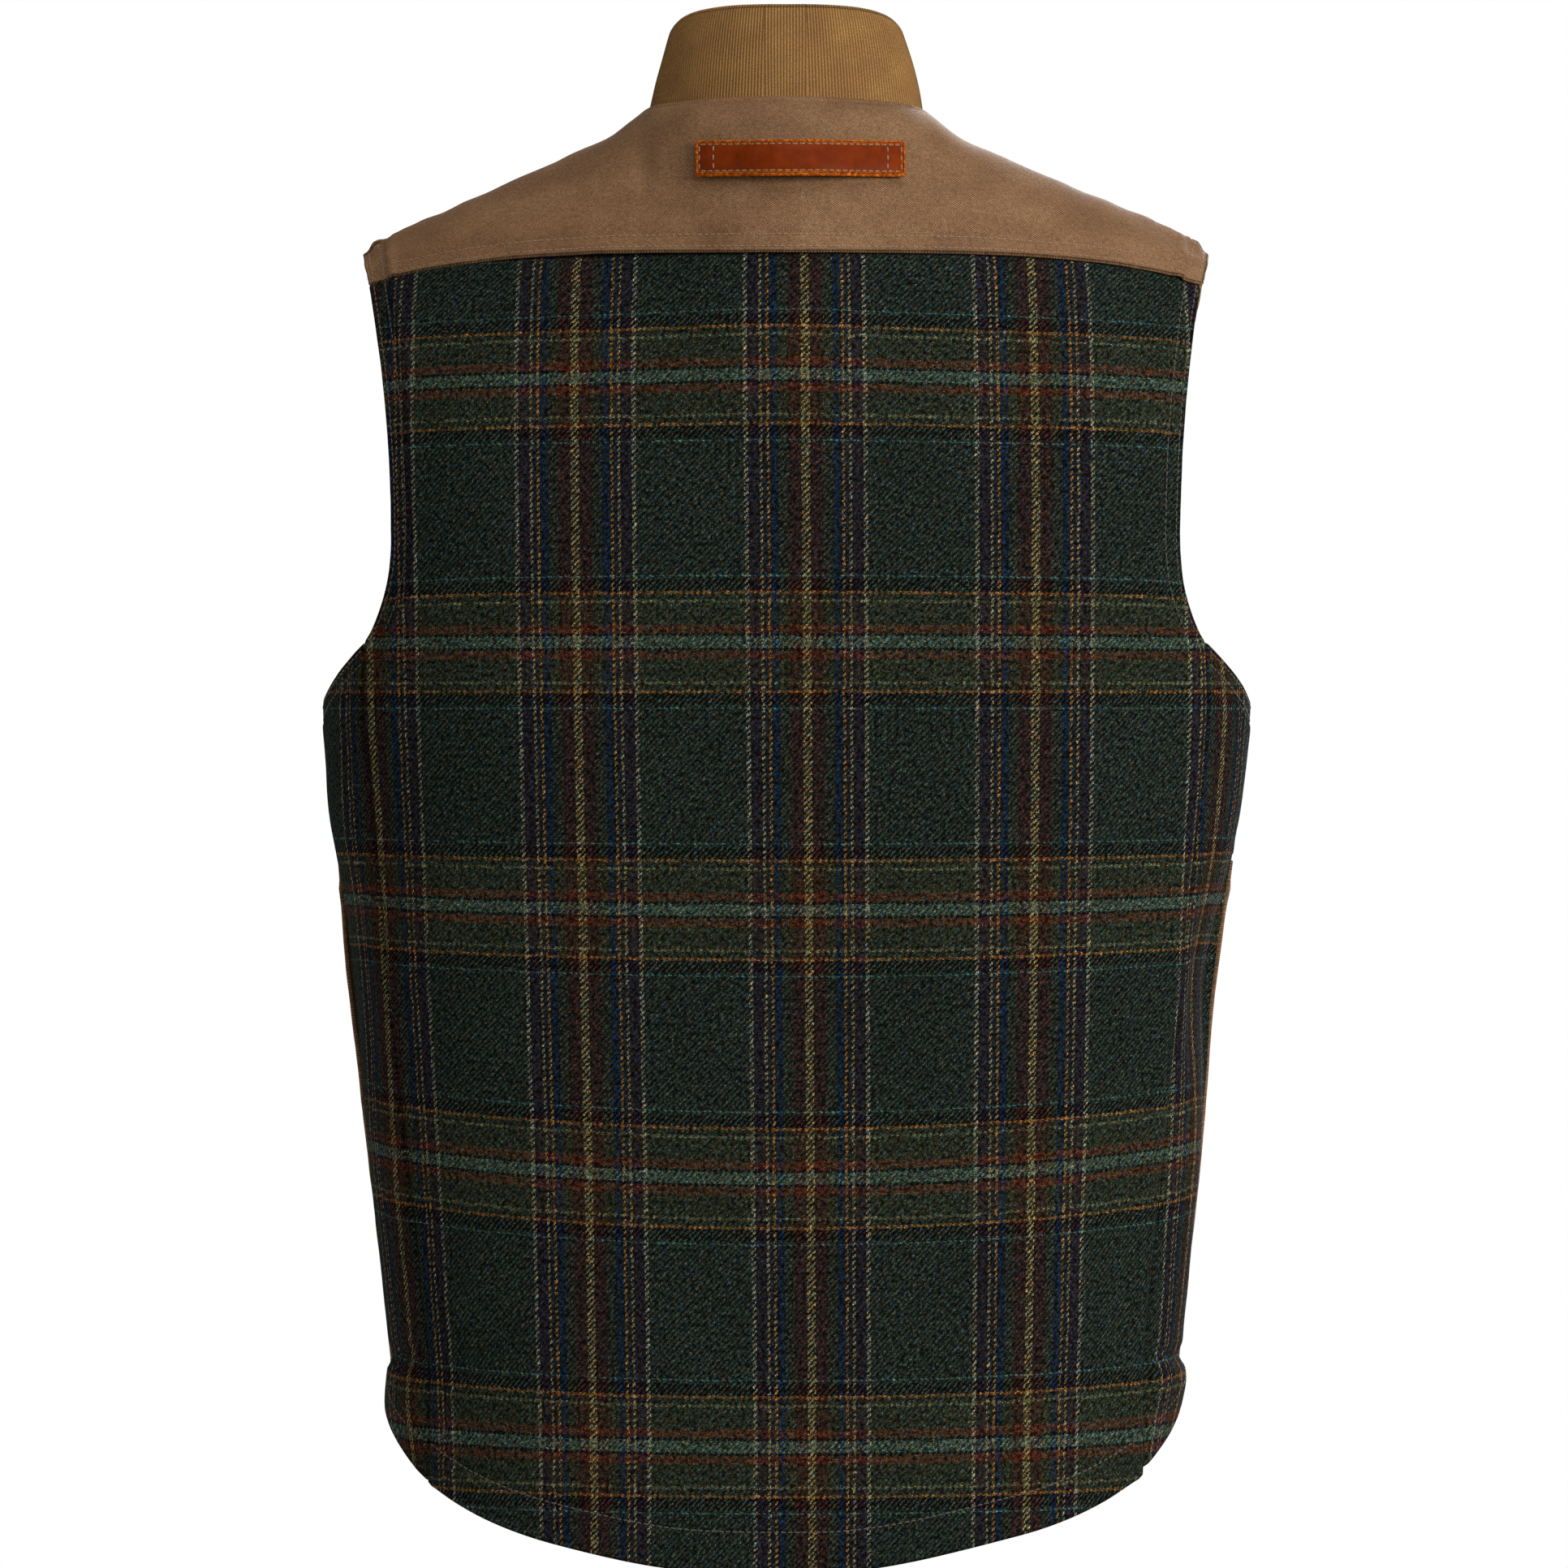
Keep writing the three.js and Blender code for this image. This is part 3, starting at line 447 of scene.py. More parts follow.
def facing_out(points: Array, quads: Array) -> Array:
    """Turns a closed mesh's faces round if its volume comes out negative."""
    a, b, c, d = (points[quads[:, k]] for k in range(4))
    volume = (a * np.cross(b, c)).sum() + (a * np.cross(c, d)).sum()
    return quads if volume > 0 else quads[:, ::-1]


def cumulative(points: Array, axis: int) -> Array:
    """Distance run along a grid's axis, from its first row or column."""
    step = np.linalg.norm(np.diff(points, axis=axis), axis=-1)
    pad = [(0, 0), (0, 0)]
    pad[axis] = (1, 0)
    return np.pad(np.cumsum(step, axis=axis), pad)


# ---- materials -------------------------------------------------------------------------------


def linear(hex_colour: str) -> tuple[float, float, float, float]:
    """An sRGB hex colour as linear RGBA: c/12.92 below 0.04045, else ((c + 0.055)/1.055)^2.4."""
    values = [int(hex_colour[i : i + 2], 16) / 255.0 for i in (0, 2, 4)]
    bent = [c / 12.92 if c <= 0.04045 else ((c + 0.055) / 1.055) ** 2.4 for c in values]
    return (*bent, 1.0)


class Recipe:
    """A material's node tree while it is being written."""

    def __init__(self, name: str) -> None:
        """Starts a tree that holds only its output and its shader."""
        self.material = bpy.data.materials.new(name)
        self.material.use_nodes = True
        self.tree = self.material.node_tree
        self.tree.nodes.clear()
        self.shader = self.add("BsdfPrincipled")
        self.add("OutputMaterial", Surface=self.shader)

    def add(
        self, kind: str, *values: object, stops: Sequence[tuple[float, str]] = (), **named: object
    ) -> bpy.types.Node:
        """Adds a node, sets its properties and fills or links its inputs.

        Args:
            kind: the node's type, without "ShaderNode".
            *values: numbers, sockets or nodes (their first output) for the first inputs.
            stops: a colour ramp's positions and colours.
            **named: a property; an input's name, with _ for a space; or _6 for the seventh input.

        Returns:
            The node.
        """
        node = self.tree.nodes.new(f"ShaderNode{kind}")
        wanted = list(enumerate(values))
        for key, value in named.items():
            if hasattr(node, key):
                setattr(node, key, value)
            else:
                wanted.append((int(key[1:]) if key[0] == "_" else key.replace("_", " "), value))
        for key, value in wanted:
            self.fill(node.inputs[key], value)
        if stops:
            elements = node.color_ramp.elements
            elements.remove(elements[1])
            for place, (position, colour) in enumerate(stops):
                element = elements[0] if place == 0 else elements.new(position)
                element.position = position
                element.color = linear(colour)
        return node

    def fill(self, socket: bpy.types.NodeSocket, value: object) -> None:
        """Gives an input a number, or links it to a socket or to a node's first output."""
        source = value.outputs[0] if isinstance(value, bpy.types.Node) else value
        if isinstance(source, bpy.types.NodeSocket):
            self.tree.links.new(source, socket)
        else:
            socket.default_value = source

    def around_one(self, value: object, gain: float, least: float = 0.0) -> bpy.types.Node:
        """The factor 1 + gain * (value - 1/2), no less than `least`."""
        centred = self.add("Math", value, 0.5, operation="SUBTRACT")
        factor = self.add("Math", centred, gain, 1.0, operation="MULTIPLY_ADD")
        return self.add("Math", factor, least, operation="MAXIMUM")

    def shaded(self, colour: object, *factors: object) -> bpy.types.Node:
        """A colour times the product of some factors."""
        light = factors[0]
        for factor in factors[1:]:
            light = self.add("Math", light, factor, operation="MULTIPLY")
        return self.add("VectorMath", colour, Scale=light, operation="SCALE")

    def finish(
        self, colour: object, height: object, depth: float, strength: float, rough: object, **constants: float
    ) -> bpy.types.Material:
        """Links colour, bump and roughness, sets constant shader values and gives the material."""
        bumps = self.add("Bump", Height=height, Distance=depth, Strength=strength)
        wanted = {"Base_Color": colour, "Normal": bumps, "Roughness": rough, **constants}
        for key, value in wanted.items():
            self.fill(self.shader.inputs[key.replace("_", " ")], value)
        return self.material


@dataclass(frozen=True)
class PlaidTweed:
    """Woollen tweed, woven 2/2 twill from melange yarn and milled: matt and hairy, with soft
    edges to its checks. Warp and weft each carry a mirror-symmetric order of stripes, given as
    distances in millimetres from the middle of a cluster."""

    thread: float = 0.7
    stray: float = 3.2
    warp_repeat: float = 112.7
    weft_repeat: float = 128.8
    warp_start: float = 9.1
    weft_start: float = 59.5
    warp: tuple[tuple[float, str], ...] = (
        (0.0, "564b37"), (2.1, "2a1719"), (8.0, "232521"), (13.4, "0f1a30"), (17.5, "5c4126"),
        (18.9, "181a26"), (20.7, "544b3d"), (22.1, "1d1623"), (28.0, "504e47"), (30.1, "202625"),
    )
    weft: tuple[tuple[float, str], ...] = (
        (0.0, "56695f"), (2.4, "141510"), (3.8, "603016"), (8.4, "2e2f1e"), (18.9, "68674a"),
        (20.3, "28291c"), (22.9, "935f27"), (24.3, "110f0b"), (30.2, "1e2524"), (31.0, "3c6d73"),
        (32.4, "1d2423"),
    )
    melange: tuple[tuple[float, str], ...] = (
        (0.36, "7fb0e2"), (0.44, "abc6be"), (0.52, "bcbda4"), (0.58, "cdb784"), (0.66, "ea8f62"),
    )

    def build(self) -> bpy.types.Material:
        """Weaves warp over weft where (thread across - thread along) mod 4 is below 2, and paints shade into
        the gaps between threads.
        """
        r = Recipe("plaid_tweed_wool")
        place = r.add("UVMap", uv_map="Cloth")
        drift = r.add("TexNoise", Vector=place, Scale=650.0, Detail=3.0, Roughness=0.7)
        strays = r.add("SeparateXYZ", drift.outputs["Color"])
        split = r.add("SeparateXYZ", place)
        crowns, numbers = [], []
        for axis in (0, 1):
            centred = r.add("Math", strays.outputs[axis], 0.5, operation="SUBTRACT")
            reach = self.stray * self.thread * MM
            moved = r.add("Math", centred, reach, split.outputs[axis], operation="MULTIPLY_ADD")
            threads = r.add("Math", moved, self.thread * MM, operation="DIVIDE")
            crowns.append(r.add("Math", threads, 0.5, operation="PINGPONG"))
            numbers.append(r.add("Math", threads, operation="FLOOR"))
        step = r.add("Math", *numbers, operation="SUBTRACT")
        turn = r.add("Math", step, 4.0, operation="FLOORED_MODULO")
        over = r.add("Math", turn, 2.0, operation="LESS_THAN")
        warp = self._order(r, numbers[0], self.warp, self.warp_repeat, self.warp_start)
        weft = self._order(r, numbers[1], self.weft, self.weft_repeat, self.weft_start)
        woven = r.add("Mix", over, data_type="RGBA", _6=weft, _7=warp)
        crown = r.add("Mix", over, _2=crowns[1], _3=crowns[0])
        cell = r.add("CombineXYZ", *numbers)
        lot = r.add("TexWhiteNoise", Vector=cell)
        fibre = r.add("TexNoise", Vector=place, Scale=1500.0, Detail=2.0, Roughness=0.8)
        tuft = r.add("TexNoise", Vector=place, Scale=480.0, Detail=1.0, Roughness=0.55)
        cloudy = r.add("TexNoise", Vector=place, Scale=26.0, Detail=3.0, Roughness=0.55)
        # Painted shade: the first factor is darkest at each thread's edges and stands in for shadow in the
        # gaps between threads; the other factors are the yarns' own uneven tone.
        lit = r.shaded(
            woven.outputs[2],
            r.add("Math", crown, 2.6, 0.25, operation="MULTIPLY_ADD"),
            r.add("Math", over, 0.95, 0.5, operation="MULTIPLY_ADD"),
            r.around_one(tuft, 4.4, 0.25),
            r.add("Math", lot, 0.9, 0.5, operation="MULTIPLY_ADD"),
            r.around_one(fibre, 6.5, 0.08),
            r.add("Math", cloudy, 0.5, 0.72, operation="MULTIPLY_ADD"),
            1.75,
        )
        dye = r.add("TexNoise", Vector=place, Scale=800.0, Detail=2.0, Roughness=0.8)
        chance = r.add("SeparateXYZ", dye.outputs["Color"]).outputs[2]
        hue = r.add("ValToRGB", chance, stops=self.melange)
        colour = r.add("VectorMath", lit, hue, operation="MULTIPLY")
        hair = r.add("TexNoise", Vector=place, Scale=2600.0, Detail=3.0, Roughness=0.7)
        height = r.add("Math", hair, 0.5, crown, operation="MULTIPLY_ADD")
        return r.finish(colour, height, 0.35 * MM, 0.6, 1.0, Specular_IOR_Level=0.03)

    def _order(
        self, r: Recipe, index: object, bands: Sequence[tuple[float, str]], repeat: float, start: float
    ) -> bpy.types.Node:
        """Colour of a thread: |fract((middle - start) / repeat + 1/2) - 1/2| picks its band."""
        counted = r.add("Math", index, 0.5, operation="ADD")
        middle = r.add("Math", counted, self.thread, operation="MULTIPLY")
        along = r.add("Math", middle, start, operation="SUBTRACT")
        share = r.add("Math", along, repeat, operation="DIVIDE")
        shifted = r.add("Math", share, 0.5, operation="ADD")
        turns = r.add("Math", shifted, operation="FRACT")
        centred = r.add("Math", turns, 0.5, operation="SUBTRACT")
        apart = r.add("Math", centred, operation="ABSOLUTE")
        scaled = r.add("Math", apart, 2.0, operation="MULTIPLY")
        stops = [(distance * 2.0 / repeat, colour) for distance, colour in bands]
        ramp = r.add("ValToRGB", scaled, stops=stops)
        ramp.color_ramp.interpolation = "CONSTANT"
        return ramp


@dataclass(frozen=True)
class WaxedCanvas:
    """Cotton twill canvas, dyed and waxed: dull, with fine diagonal lines, cloudy where the wax
    has been rubbed and paler along its creases."""

    colour: str = "664a32"
    worn: str = "6f543b"
    waxed: str = "5c432d"
    twill: float = 1.5
    slant: float = 1.3

    def build(self) -> bpy.types.Material:
        """Painted shade in the grooves of a fine twill line, thread-scale flecks and two scales of cloudy
        rubbing.
        """
        r = Recipe("waxed_cotton_canvas")
        place = r.add("UVMap", uv_map="Cloth")
        split = r.add("SeparateXYZ", place)
        climb = r.add("Math", split.outputs[1], self.slant, operation="MULTIPLY")
        slanted = r.add("Math", split, climb, operation="SUBTRACT")
        counted = r.add("Math", slanted, self.twill * MM, operation="DIVIDE")
        lines = r.add("Math", counted, 0.5, operation="PINGPONG")
        fleck = r.add("TexNoise", Vector=place, Scale=1500.0, Detail=3.0, Roughness=0.7)
        patch = r.add("TexNoise", Vector=place, Scale=420.0, Detail=2.0, Roughness=0.7)
        rubbed = r.add("TexNoise", Vector=place, Scale=34.0, Detail=4.0, Roughness=0.6)
        base = r.add("ValToRGB", rubbed, stops=((0.3, self.waxed), (0.5, self.colour), (0.72, self.worn)))
        # Painted shade: the first factor darkens the grooves between the twill lines; the flecks and rubbing
        # are the cloth's own uneven tone.
        colour = r.shaded(
            base,
            r.add("Math", lines, 2.2, 0.42, operation="MULTIPLY_ADD"),
            r.around_one(fleck, 3.2, 0.3),
            r.around_one(patch, 1.1),
        )
        height = r.add("Math", lines, 0.8, fleck, operation="MULTIPLY_ADD")
        rough = r.add("Math", rubbed, 0.3, 0.62, operation="MULTIPLY_ADD")
        return r.finish(colour, height, 0.12 * MM, 0.6, rough, Specular_IOR_Level=0.1)


@dataclass(frozen=True)
class RibKnit:
    """Fine 1 x 1 rib in wool and cotton: rounded wales with painted shade in the channels between them."""

    pitch: float = 1.5
    course: float = 0.8
    shades: tuple[tuple[float, str], ...] = ((0.3, "715130"), (0.55, "7a5a34"), (0.75, "846339"))

    def build(self) -> bpy.types.Material:
        """Paints shade into the channels, which lie at whole multiples of the pitch across the cloth."""
        r = Recipe("rib_knit_wool_cotton")
        place = r.add("UVMap", uv_map="Cloth")
        split = r.add("SeparateXYZ", place)
        across = r.add("Math", split, self.pitch * MM, operation="DIVIDE")
        wale = r.add("Math", across, 0.5, operation="PINGPONG")
        along = r.add("Math", split.outputs[1], self.course * MM, operation="DIVIDE")
        course = r.add("Math", along, 0.5, operation="PINGPONG")
        yarn = r.add("TexNoise", Vector=place, Scale=1300.0, Detail=3.0, Roughness=0.7)
        cloudy = r.add("TexNoise", Vector=place, Scale=40.0, Detail=3.0, Roughness=0.55)
        base = r.add("ValToRGB", cloudy, stops=self.shades)
        # Painted shade: this light factor is lowest in the channels between the wales.
        light = r.add("Math", wale, 1.7, 0.5, operation="MULTIPLY_ADD")
        colour = r.shaded(base, light, r.around_one(yarn, 2.2, 0.35))
        height = r.add("Math", course, 0.8, yarn, operation="MULTIPLY_ADD")
        return r.finish(colour, height, 0.15 * MM, 0.6, 0.95, Specular_IOR_Level=0.05)


@dataclass(frozen=True)
class BridleLeather:
    """Vegetable-tanned bridle leather, oiled, with dyed face and burnished, paler edges. The
    `edge` attribute is 1 at the cut edge and 0 on the face."""

    face: tuple[tuple[float, str], ...] = ((0.3, "4a1602"), (0.5, "561b03"), (0.75, "642303"))
    rim: tuple[tuple[float, str], ...] = ((0.3, "5e2606"), (0.55, "8f4209"), (0.75, "c9711a"))
    creased: str = "6f3009"

    def build(self) -> bpy.types.Material:
        """Fine grain, cloudy dye, cross creases, and the rim's colour from the attribute."""
        r = Recipe("oiled_bridle_leather")
        place = r.add("TexCoord").outputs["Object"]
        edge = r.add("Attribute", attribute_name="edge").outputs["Fac"]
        cloudy = r.add("TexNoise", Vector=place, Scale=120.0, Detail=4.0, Roughness=0.55)
        stretched = r.add("Mapping", Vector=place, Scale=(900.0, 60.0, 60.0))
        creases = r.add("TexNoise", Vector=stretched, Scale=1.0, Detail=3.0, Roughness=0.55)
        share = r.add("Math", creases, 0.25, operation="MULTIPLY")
        dyed = r.add("ValToRGB", cloudy, stops=self.face)
        face = r.add("Mix", share, data_type="RGBA", _6=dyed, _7=linear(self.creased))
        mottle = r.add("TexNoise", Vector=place, Scale=700.0, Detail=2.0, Roughness=0.55)
        rim = r.add("ValToRGB", mottle, stops=self.rim)
        both = r.add("Mix", edge, data_type="RGBA", _6=face.outputs[2], _7=rim)
        grain = r.add("TexVoronoi", Vector=place, Scale=1900.0)
        creasing = r.add("Math", creases, 0.7, operation="MULTIPLY")
        height = r.add("Math", grain, 0.6, creasing, operation="MULTIPLY_ADD")
        rough = r.add("Math", cloudy, 0.22, 0.36, operation="MULTIPLY_ADD")
        return r.finish(both.outputs[2], height, 0.1 * MM, 0.5, rough, Specular_IOR_Level=0.03)


@dataclass(frozen=True)
class PlainWeave:
    """A plain-woven cloth: a checker of threads over and under each other, with slubs."""

    name: str
    colour: str
    deep: str
    thread: float = 0.6

    def build(self) -> bpy.types.Material:
        """Height is the product of two waves, so that threads pass over and under; the colour takes painted
        shade from it where threads dip under.
        """
        r = Recipe(self.name)
        place = r.add("UVMap", uv_map="Cloth")
        split = r.add("SeparateXYZ", place)
        waves = []
        for axis in (0, 1):
            turns = r.add("Math", split.outputs[axis], math.pi / (self.thread * MM), operation="MULTIPLY")
            waves.append(r.add("Math", turns, operation="SINE"))
        over = r.add("Math", *waves, operation="MULTIPLY")
        slub = r.add("TexNoise", Vector=place, Scale=420.0, Detail=3.0, Roughness=0.55)
        # The deep colour is partly painted shade where threads dip under and partly the darker tone of the
        # slubs.
        share = r.add("Math", over, 0.3, slub, operation="MULTIPLY_ADD")
        colour = r.add("ValToRGB", share, stops=((0.2, self.deep), (0.75, self.colour)))
        return r.finish(colour, over, 0.1 * MM, 0.6, 0.85, Sheen_Weight=0.1, Specular_IOR_Level=0.2)


@dataclass(frozen=True)
class TwistedThread:
    """Polyester-cotton sewing thread, two plies twisted: soft shine, slightly uneven colour."""

    name: str
    colour: str
    deep: str

    def build(self) -> bpy.types.Material:
        """Noise at the scale of the twist carries both colour and bump."""
        r = Recipe(self.name)
        place = r.add("TexCoord").outputs["Object"]
        twist = r.add("TexNoise", Vector=place, Scale=2200.0, Detail=2.0, Roughness=0.55)
        colour = r.add("ValToRGB", twist, stops=((0.3, self.deep), (0.65, self.colour)))
        return r.finish(colour, twist, 0.1 * MM, 0.6, 0.6, Sheen_Weight=0.2, Specular_IOR_Level=0.35)


@dataclass(frozen=True)
class AntiqueBrass:
    """Plated brass, darkened and brushed back: brown in the hollows, warm on what is rubbed."""

    shades: tuple[tuple[float, str], ...] = ((0.3, "4a3a24"), (0.52, "80683f"), (0.72, "a98f5d"))

    def build(self) -> bpy.types.Material:
        """Two scales of tarnish change colour and roughness together."""
        r = Recipe("antique_brass")
        place = r.add("TexCoord").outputs["Object"]
        tarnish = r.add("TexNoise", Vector=place, Scale=420.0, Detail=5.0, Roughness=0.65)
        colour = r.add("ValToRGB", tarnish, stops=self.shades)
        rough = r.add("Math", tarnish, -0.34, 0.56, operation="MULTIPLY_ADD")
        scratch = r.add("TexNoise", Vector=place, Scale=3000.0, Detail=2.0, Roughness=0.55)
        return r.finish(colour, scratch, 0.03 * MM, 0.4, rough, Metallic=1.0)


@dataclass
class Finishes:
    """Every finish of the vest, built once."""

    tweed: bpy.types.Material = field(default_factory=lambda: PlaidTweed().build())
    canvas: bpy.types.Material = field(default_factory=lambda: WaxedCanvas().build())
    rib: bpy.types.Material = field(default_factory=lambda: RibKnit().build())
    leather: bpy.types.Material = field(default_factory=lambda: BridleLeather().build())
    lining: bpy.types.Material = field(
        default_factory=lambda: PlainWeave("cotton_lining", "4d4234", "2e271f").build()
    )
    tape: bpy.types.Material = field(
        default_factory=lambda: PlainWeave("woven_zip_tape", "4c3f2e", "2a2219", 0.5).build()
    )
    tan_thread: bpy.types.Material = field(
        default_factory=lambda: TwistedThread("tan_topstitch_thread", "7e6044", "4d3726").build()
    )
    gold_thread: bpy.types.Material = field(
        default_factory=lambda: TwistedThread("gold_topstitch_thread", "453720", "231a0f").build()
    )
    brown_thread: bpy.types.Material = field(
        default_factory=lambda: TwistedThread("brown_saddle_thread", "8a6a40", "2a1a0d").build()
    )
    brass: bpy.types.Material = field(default_factory=lambda: AntiqueBrass().build())


# ---- stitches --------------------------------------------------------------------------------


@dataclass
class Stitching:
    """Rows of topstitching that become one piece.

    A stitch is a small spindle: rings of radius width/2 * sin(a) at -length/2 * cos(a), copied
    along each row at the pitch and turned to the row's direction and the cloth's normal.
    """

    name: str
    material: bpy.types.Material
    pitch: float = 3.3
    length: float = 2.5
    width: float = 0.75
    parts: list[tuple[Array, Array]] = field(default_factory=list)

    def add(self, path: Array, normals: Array, lift: float = 0.05) -> None:
        """Adds a row along a line of points with the cloth's normals there."""
        step = np.linalg.norm(np.diff(path, axis=0), axis=1)
        run = np.concatenate([[0.0], np.cumsum(step)])
        count = max(2, int(run[-1] / self.pitch))
        at = (np.arange(count) + 0.5) * run[-1] / count
        ends = [
            np.stack([np.interp(at + way * self.length / 2, run, path[:, k]) for k in range(3)], -1)
            for way in (-1, 1)
        ]
        up = unit(np.stack([np.interp(at, run, normals[:, k]) for k in range(3)], -1))
        ahead = unit(ends[1] - ends[0])
        side = unit(np.cross(up, ahead))
        centre = 0.5 * (ends[0] + ends[1]) + up * lift
        rings, around = 5, 6
        bend = np.linspace(0.06, np.pi - 0.06, rings)
        turn = np.arange(around) * 2.0 * np.pi / around
        x = np.repeat(-np.cos(bend) * self.length / 2, around)
        spread = np.repeat(np.sin(bend) ** 0.6 * self.width / 2, around)
        y, z = spread * np.tile(np.cos(turn), rings), spread * np.tile(np.sin(turn), rings) * 0.7
        points = (
            centre[:, None]
            + ahead[:, None] * x[None, :, None]
            + side[:, None] * y[None, :, None]
            + up[:, None] * z[None, :, None]
        )
        k = np.arange(around)
        walls = [
            np.stack([r * around + k, r * around + (k + 1) % around,
                      (r + 1) * around + (k + 1) % around, (r + 1) * around + k], -1)
            for r in range(rings - 1)
        ]
        first, last = np.arange(around), (rings - 1) * around + np.arange(around)
        caps = [first[[3, 2, 1, 0]], first[[0, 5, 4, 3]], last[[0, 1, 2, 3]], last[[0, 3, 4, 5]]]
        quads = np.concatenate([np.concatenate(walls), np.array(caps)])
        copies = quads[None] + (np.arange(count) * rings * around)[:, None, None]
        self.parts.append((points.reshape(-1, 3), copies.reshape(-1, 4)))

    def build(self, slot: str) -> bpy.types.Object:
        """Joins the rows into one mesh with the thread's material."""
        points, quads, first = [], [], 0
        for place, faces in self.parts:
            points.append(place)
            quads.append(faces + first)
            first += len(place)
        points, quads = np.concatenate(points), np.concatenate(quads)
        piece = make_object(self.name, points, facing_out(points, quads), self.material)
        return piece


@dataclass
class Panel:
    """A cut panel of the vest: a grid over parameters (v along rows, u across), its relief and
    the cloth made from it, with the means to lay stitches on its outer face."""

    name: str
    us: Array
    vs: Array
    grid: Array
    uv: Array
    relief: Array
    thickness: float
    middle: Sequence[float] = (0.0, 0.0, 400.0)

    def __post_init__(self) -> None:
        """Works out the outer face: the grid moved along its normals by the relief."""
        self.base = outward_normals(self.grid, self.middle)
        self.outer = self.grid + self.base * self.relief[..., None]
        self.normals = outward_normals(self.outer, self.middle)

    def build(self, material: bpy.types.Material, nodes: Sequence[str], slot: str,
              rests_on: Sequence[str], held: Held = Held.HUNG) -> bpy.types.Object:
        inner = self.outer - self.base * self.thickness
        points, quads, uv = closed_cloth(self.outer, inner, self.uv)
        piece = make_object(self.name, points, quads, material, uv)
        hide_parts(*nodes)
        return piece

    def on(self, u: Array, v: Array) -> tuple[Array, Array]:
        """Points and normals on the outer face at parameters u, v, between the grid's own."""
        u, v = np.broadcast_arrays(np.asarray(u, float), np.asarray(v, float))
        a = np.clip(np.interp(u, self.us, np.arange(len(self.us))), 0, len(self.us) - 1.001)
        b = np.clip(np.interp(v, self.vs, np.arange(len(self.vs))), 0, len(self.vs) - 1.001)
        i, j = b.astype(int), a.astype(int)
        s, t = (b - i)[:, None], (a - j)[:, None]

        def between(values: Array) -> Array:
            """Bilinear value at the wanted places."""
            near = mix(values[i, j], values[i, j + 1], t)
            return mix(near, mix(values[i + 1, j], values[i + 1, j + 1], t), s)

        return between(self.outer), unit(between(self.normals))

    def row_at(self, distance: float, span: tuple[float, float], from_end: bool = False,
               count: int = 400) -> tuple[Array, Array]:
        """A line across the panel that keeps a distance from its first or last row."""
        run = cumulative(self.outer, 0)
        if from_end:
            distance = run[-1] - distance
        wanted = np.broadcast_to(distance, run.shape[1])
        rows = np.array([np.interp(d, column, self.vs) for d, column in zip(wanted, run.T)])
        u = np.linspace(*span, count)
        return self.on(u, np.interp(u, self.us, rows))

    def column_at(self, distance: float, span: tuple[float, float], from_end: bool = False,
                  count: int = 400) -> tuple[Array, Array]:
        """A line up the panel that keeps a distance from its first or last column."""
        run = cumulative(self.outer, 1)
        if from_end:
            distance = run[:, -1] - distance
        wanted = np.broadcast_to(distance, run.shape[0])
        columns = np.array([np.interp(d, row, self.us) for d, row in zip(wanted, run)])
        v = np.linspace(*span, count)
        return self.on(np.interp(v, self.vs, columns), v)


@dataclass(frozen=True)
class Reach:
    """Distances in millimetres to the first and last row and the first and last column."""

    low: Array
    high: Array
    near: Array
    far: Array

    @classmethod
    def of(cls, grid: Array) -> "Reach":
        """Measures a grid along its own rows and columns."""
        along, across = cumulative(grid, 0), cumulative(grid, 1)
        return cls(along, along[-1:] - along, across, across[:, -1:] - across)

    @property
    def side(self) -> Array:
        """Distance to the nearer side."""
        return np.minimum(self.near, self.far)


def cloth_uv(grid: Array, run: Array, anchor: float) -> Array:
    """Cloth coordinates: `run` across, and up each column the length of the cloth, which equals
    the height above the hem at the height `anchor`."""
    along, h = cumulative(grid, 0), grid[..., 2]
    base = np.array([np.interp(anchor, h[:, k], along[:, k]) for k in range(h.shape[1])])
    return np.stack([run, along - base + anchor], -1)


def tweed_uv(grid: Array, run: Array, anchor: float = 300.0) -> Array:
    """Cloth coordinates of a tweed panel. The cut leans a little: its stripes close in towards
    the hem and climb towards the lower sides."""
    uv = cloth_uv(grid, run, anchor)
    h = grid[..., 2]
    t = np.clip((620.0 - h) / 550.0, 0.0, 1.0)
    uv[..., 1] -= 10.0 * np.minimum(np.abs(run) / 190.0, 1.2) ** 2 * bump(h, 187.0, 130.0)
    uv[..., 0] = (run - 4.2 * t) / (1.0 - 0.063 * t)
    return uv


def settled(grid: Array) -> Array:
    """The back's hem hangs a little crooked: it is drawn up on both sides, the right one more."""
    x, h = grid[..., 0], grid[..., 2]
    lift = 7.0 * smooth(-x, 15.0, 110.0) + 3.0 * smooth(x, 40.0, 110.0)
    moved = grid.copy()
    moved[..., 2] += lift * (1.0 - smooth(h, 15.0, 150.0))
    return moved


def creased(x: Array, h: Array, big: float, small: float, seed: int) -> Array:
    """Soft unevenness of hung cloth: broad swells, hand-sized ones and fine puckers."""
    return (
        big * soft_noise(x, h, 95.0, seed)
        + 0.45 * big * soft_noise(x + 0.4 * h, h, 41.0, seed + 1)
        + small * soft_noise(x, h + 0.3 * x, 13.0, seed + 2)
        + 0.4 * small * soft_noise(x, h, 5.0, seed + 3)
    )


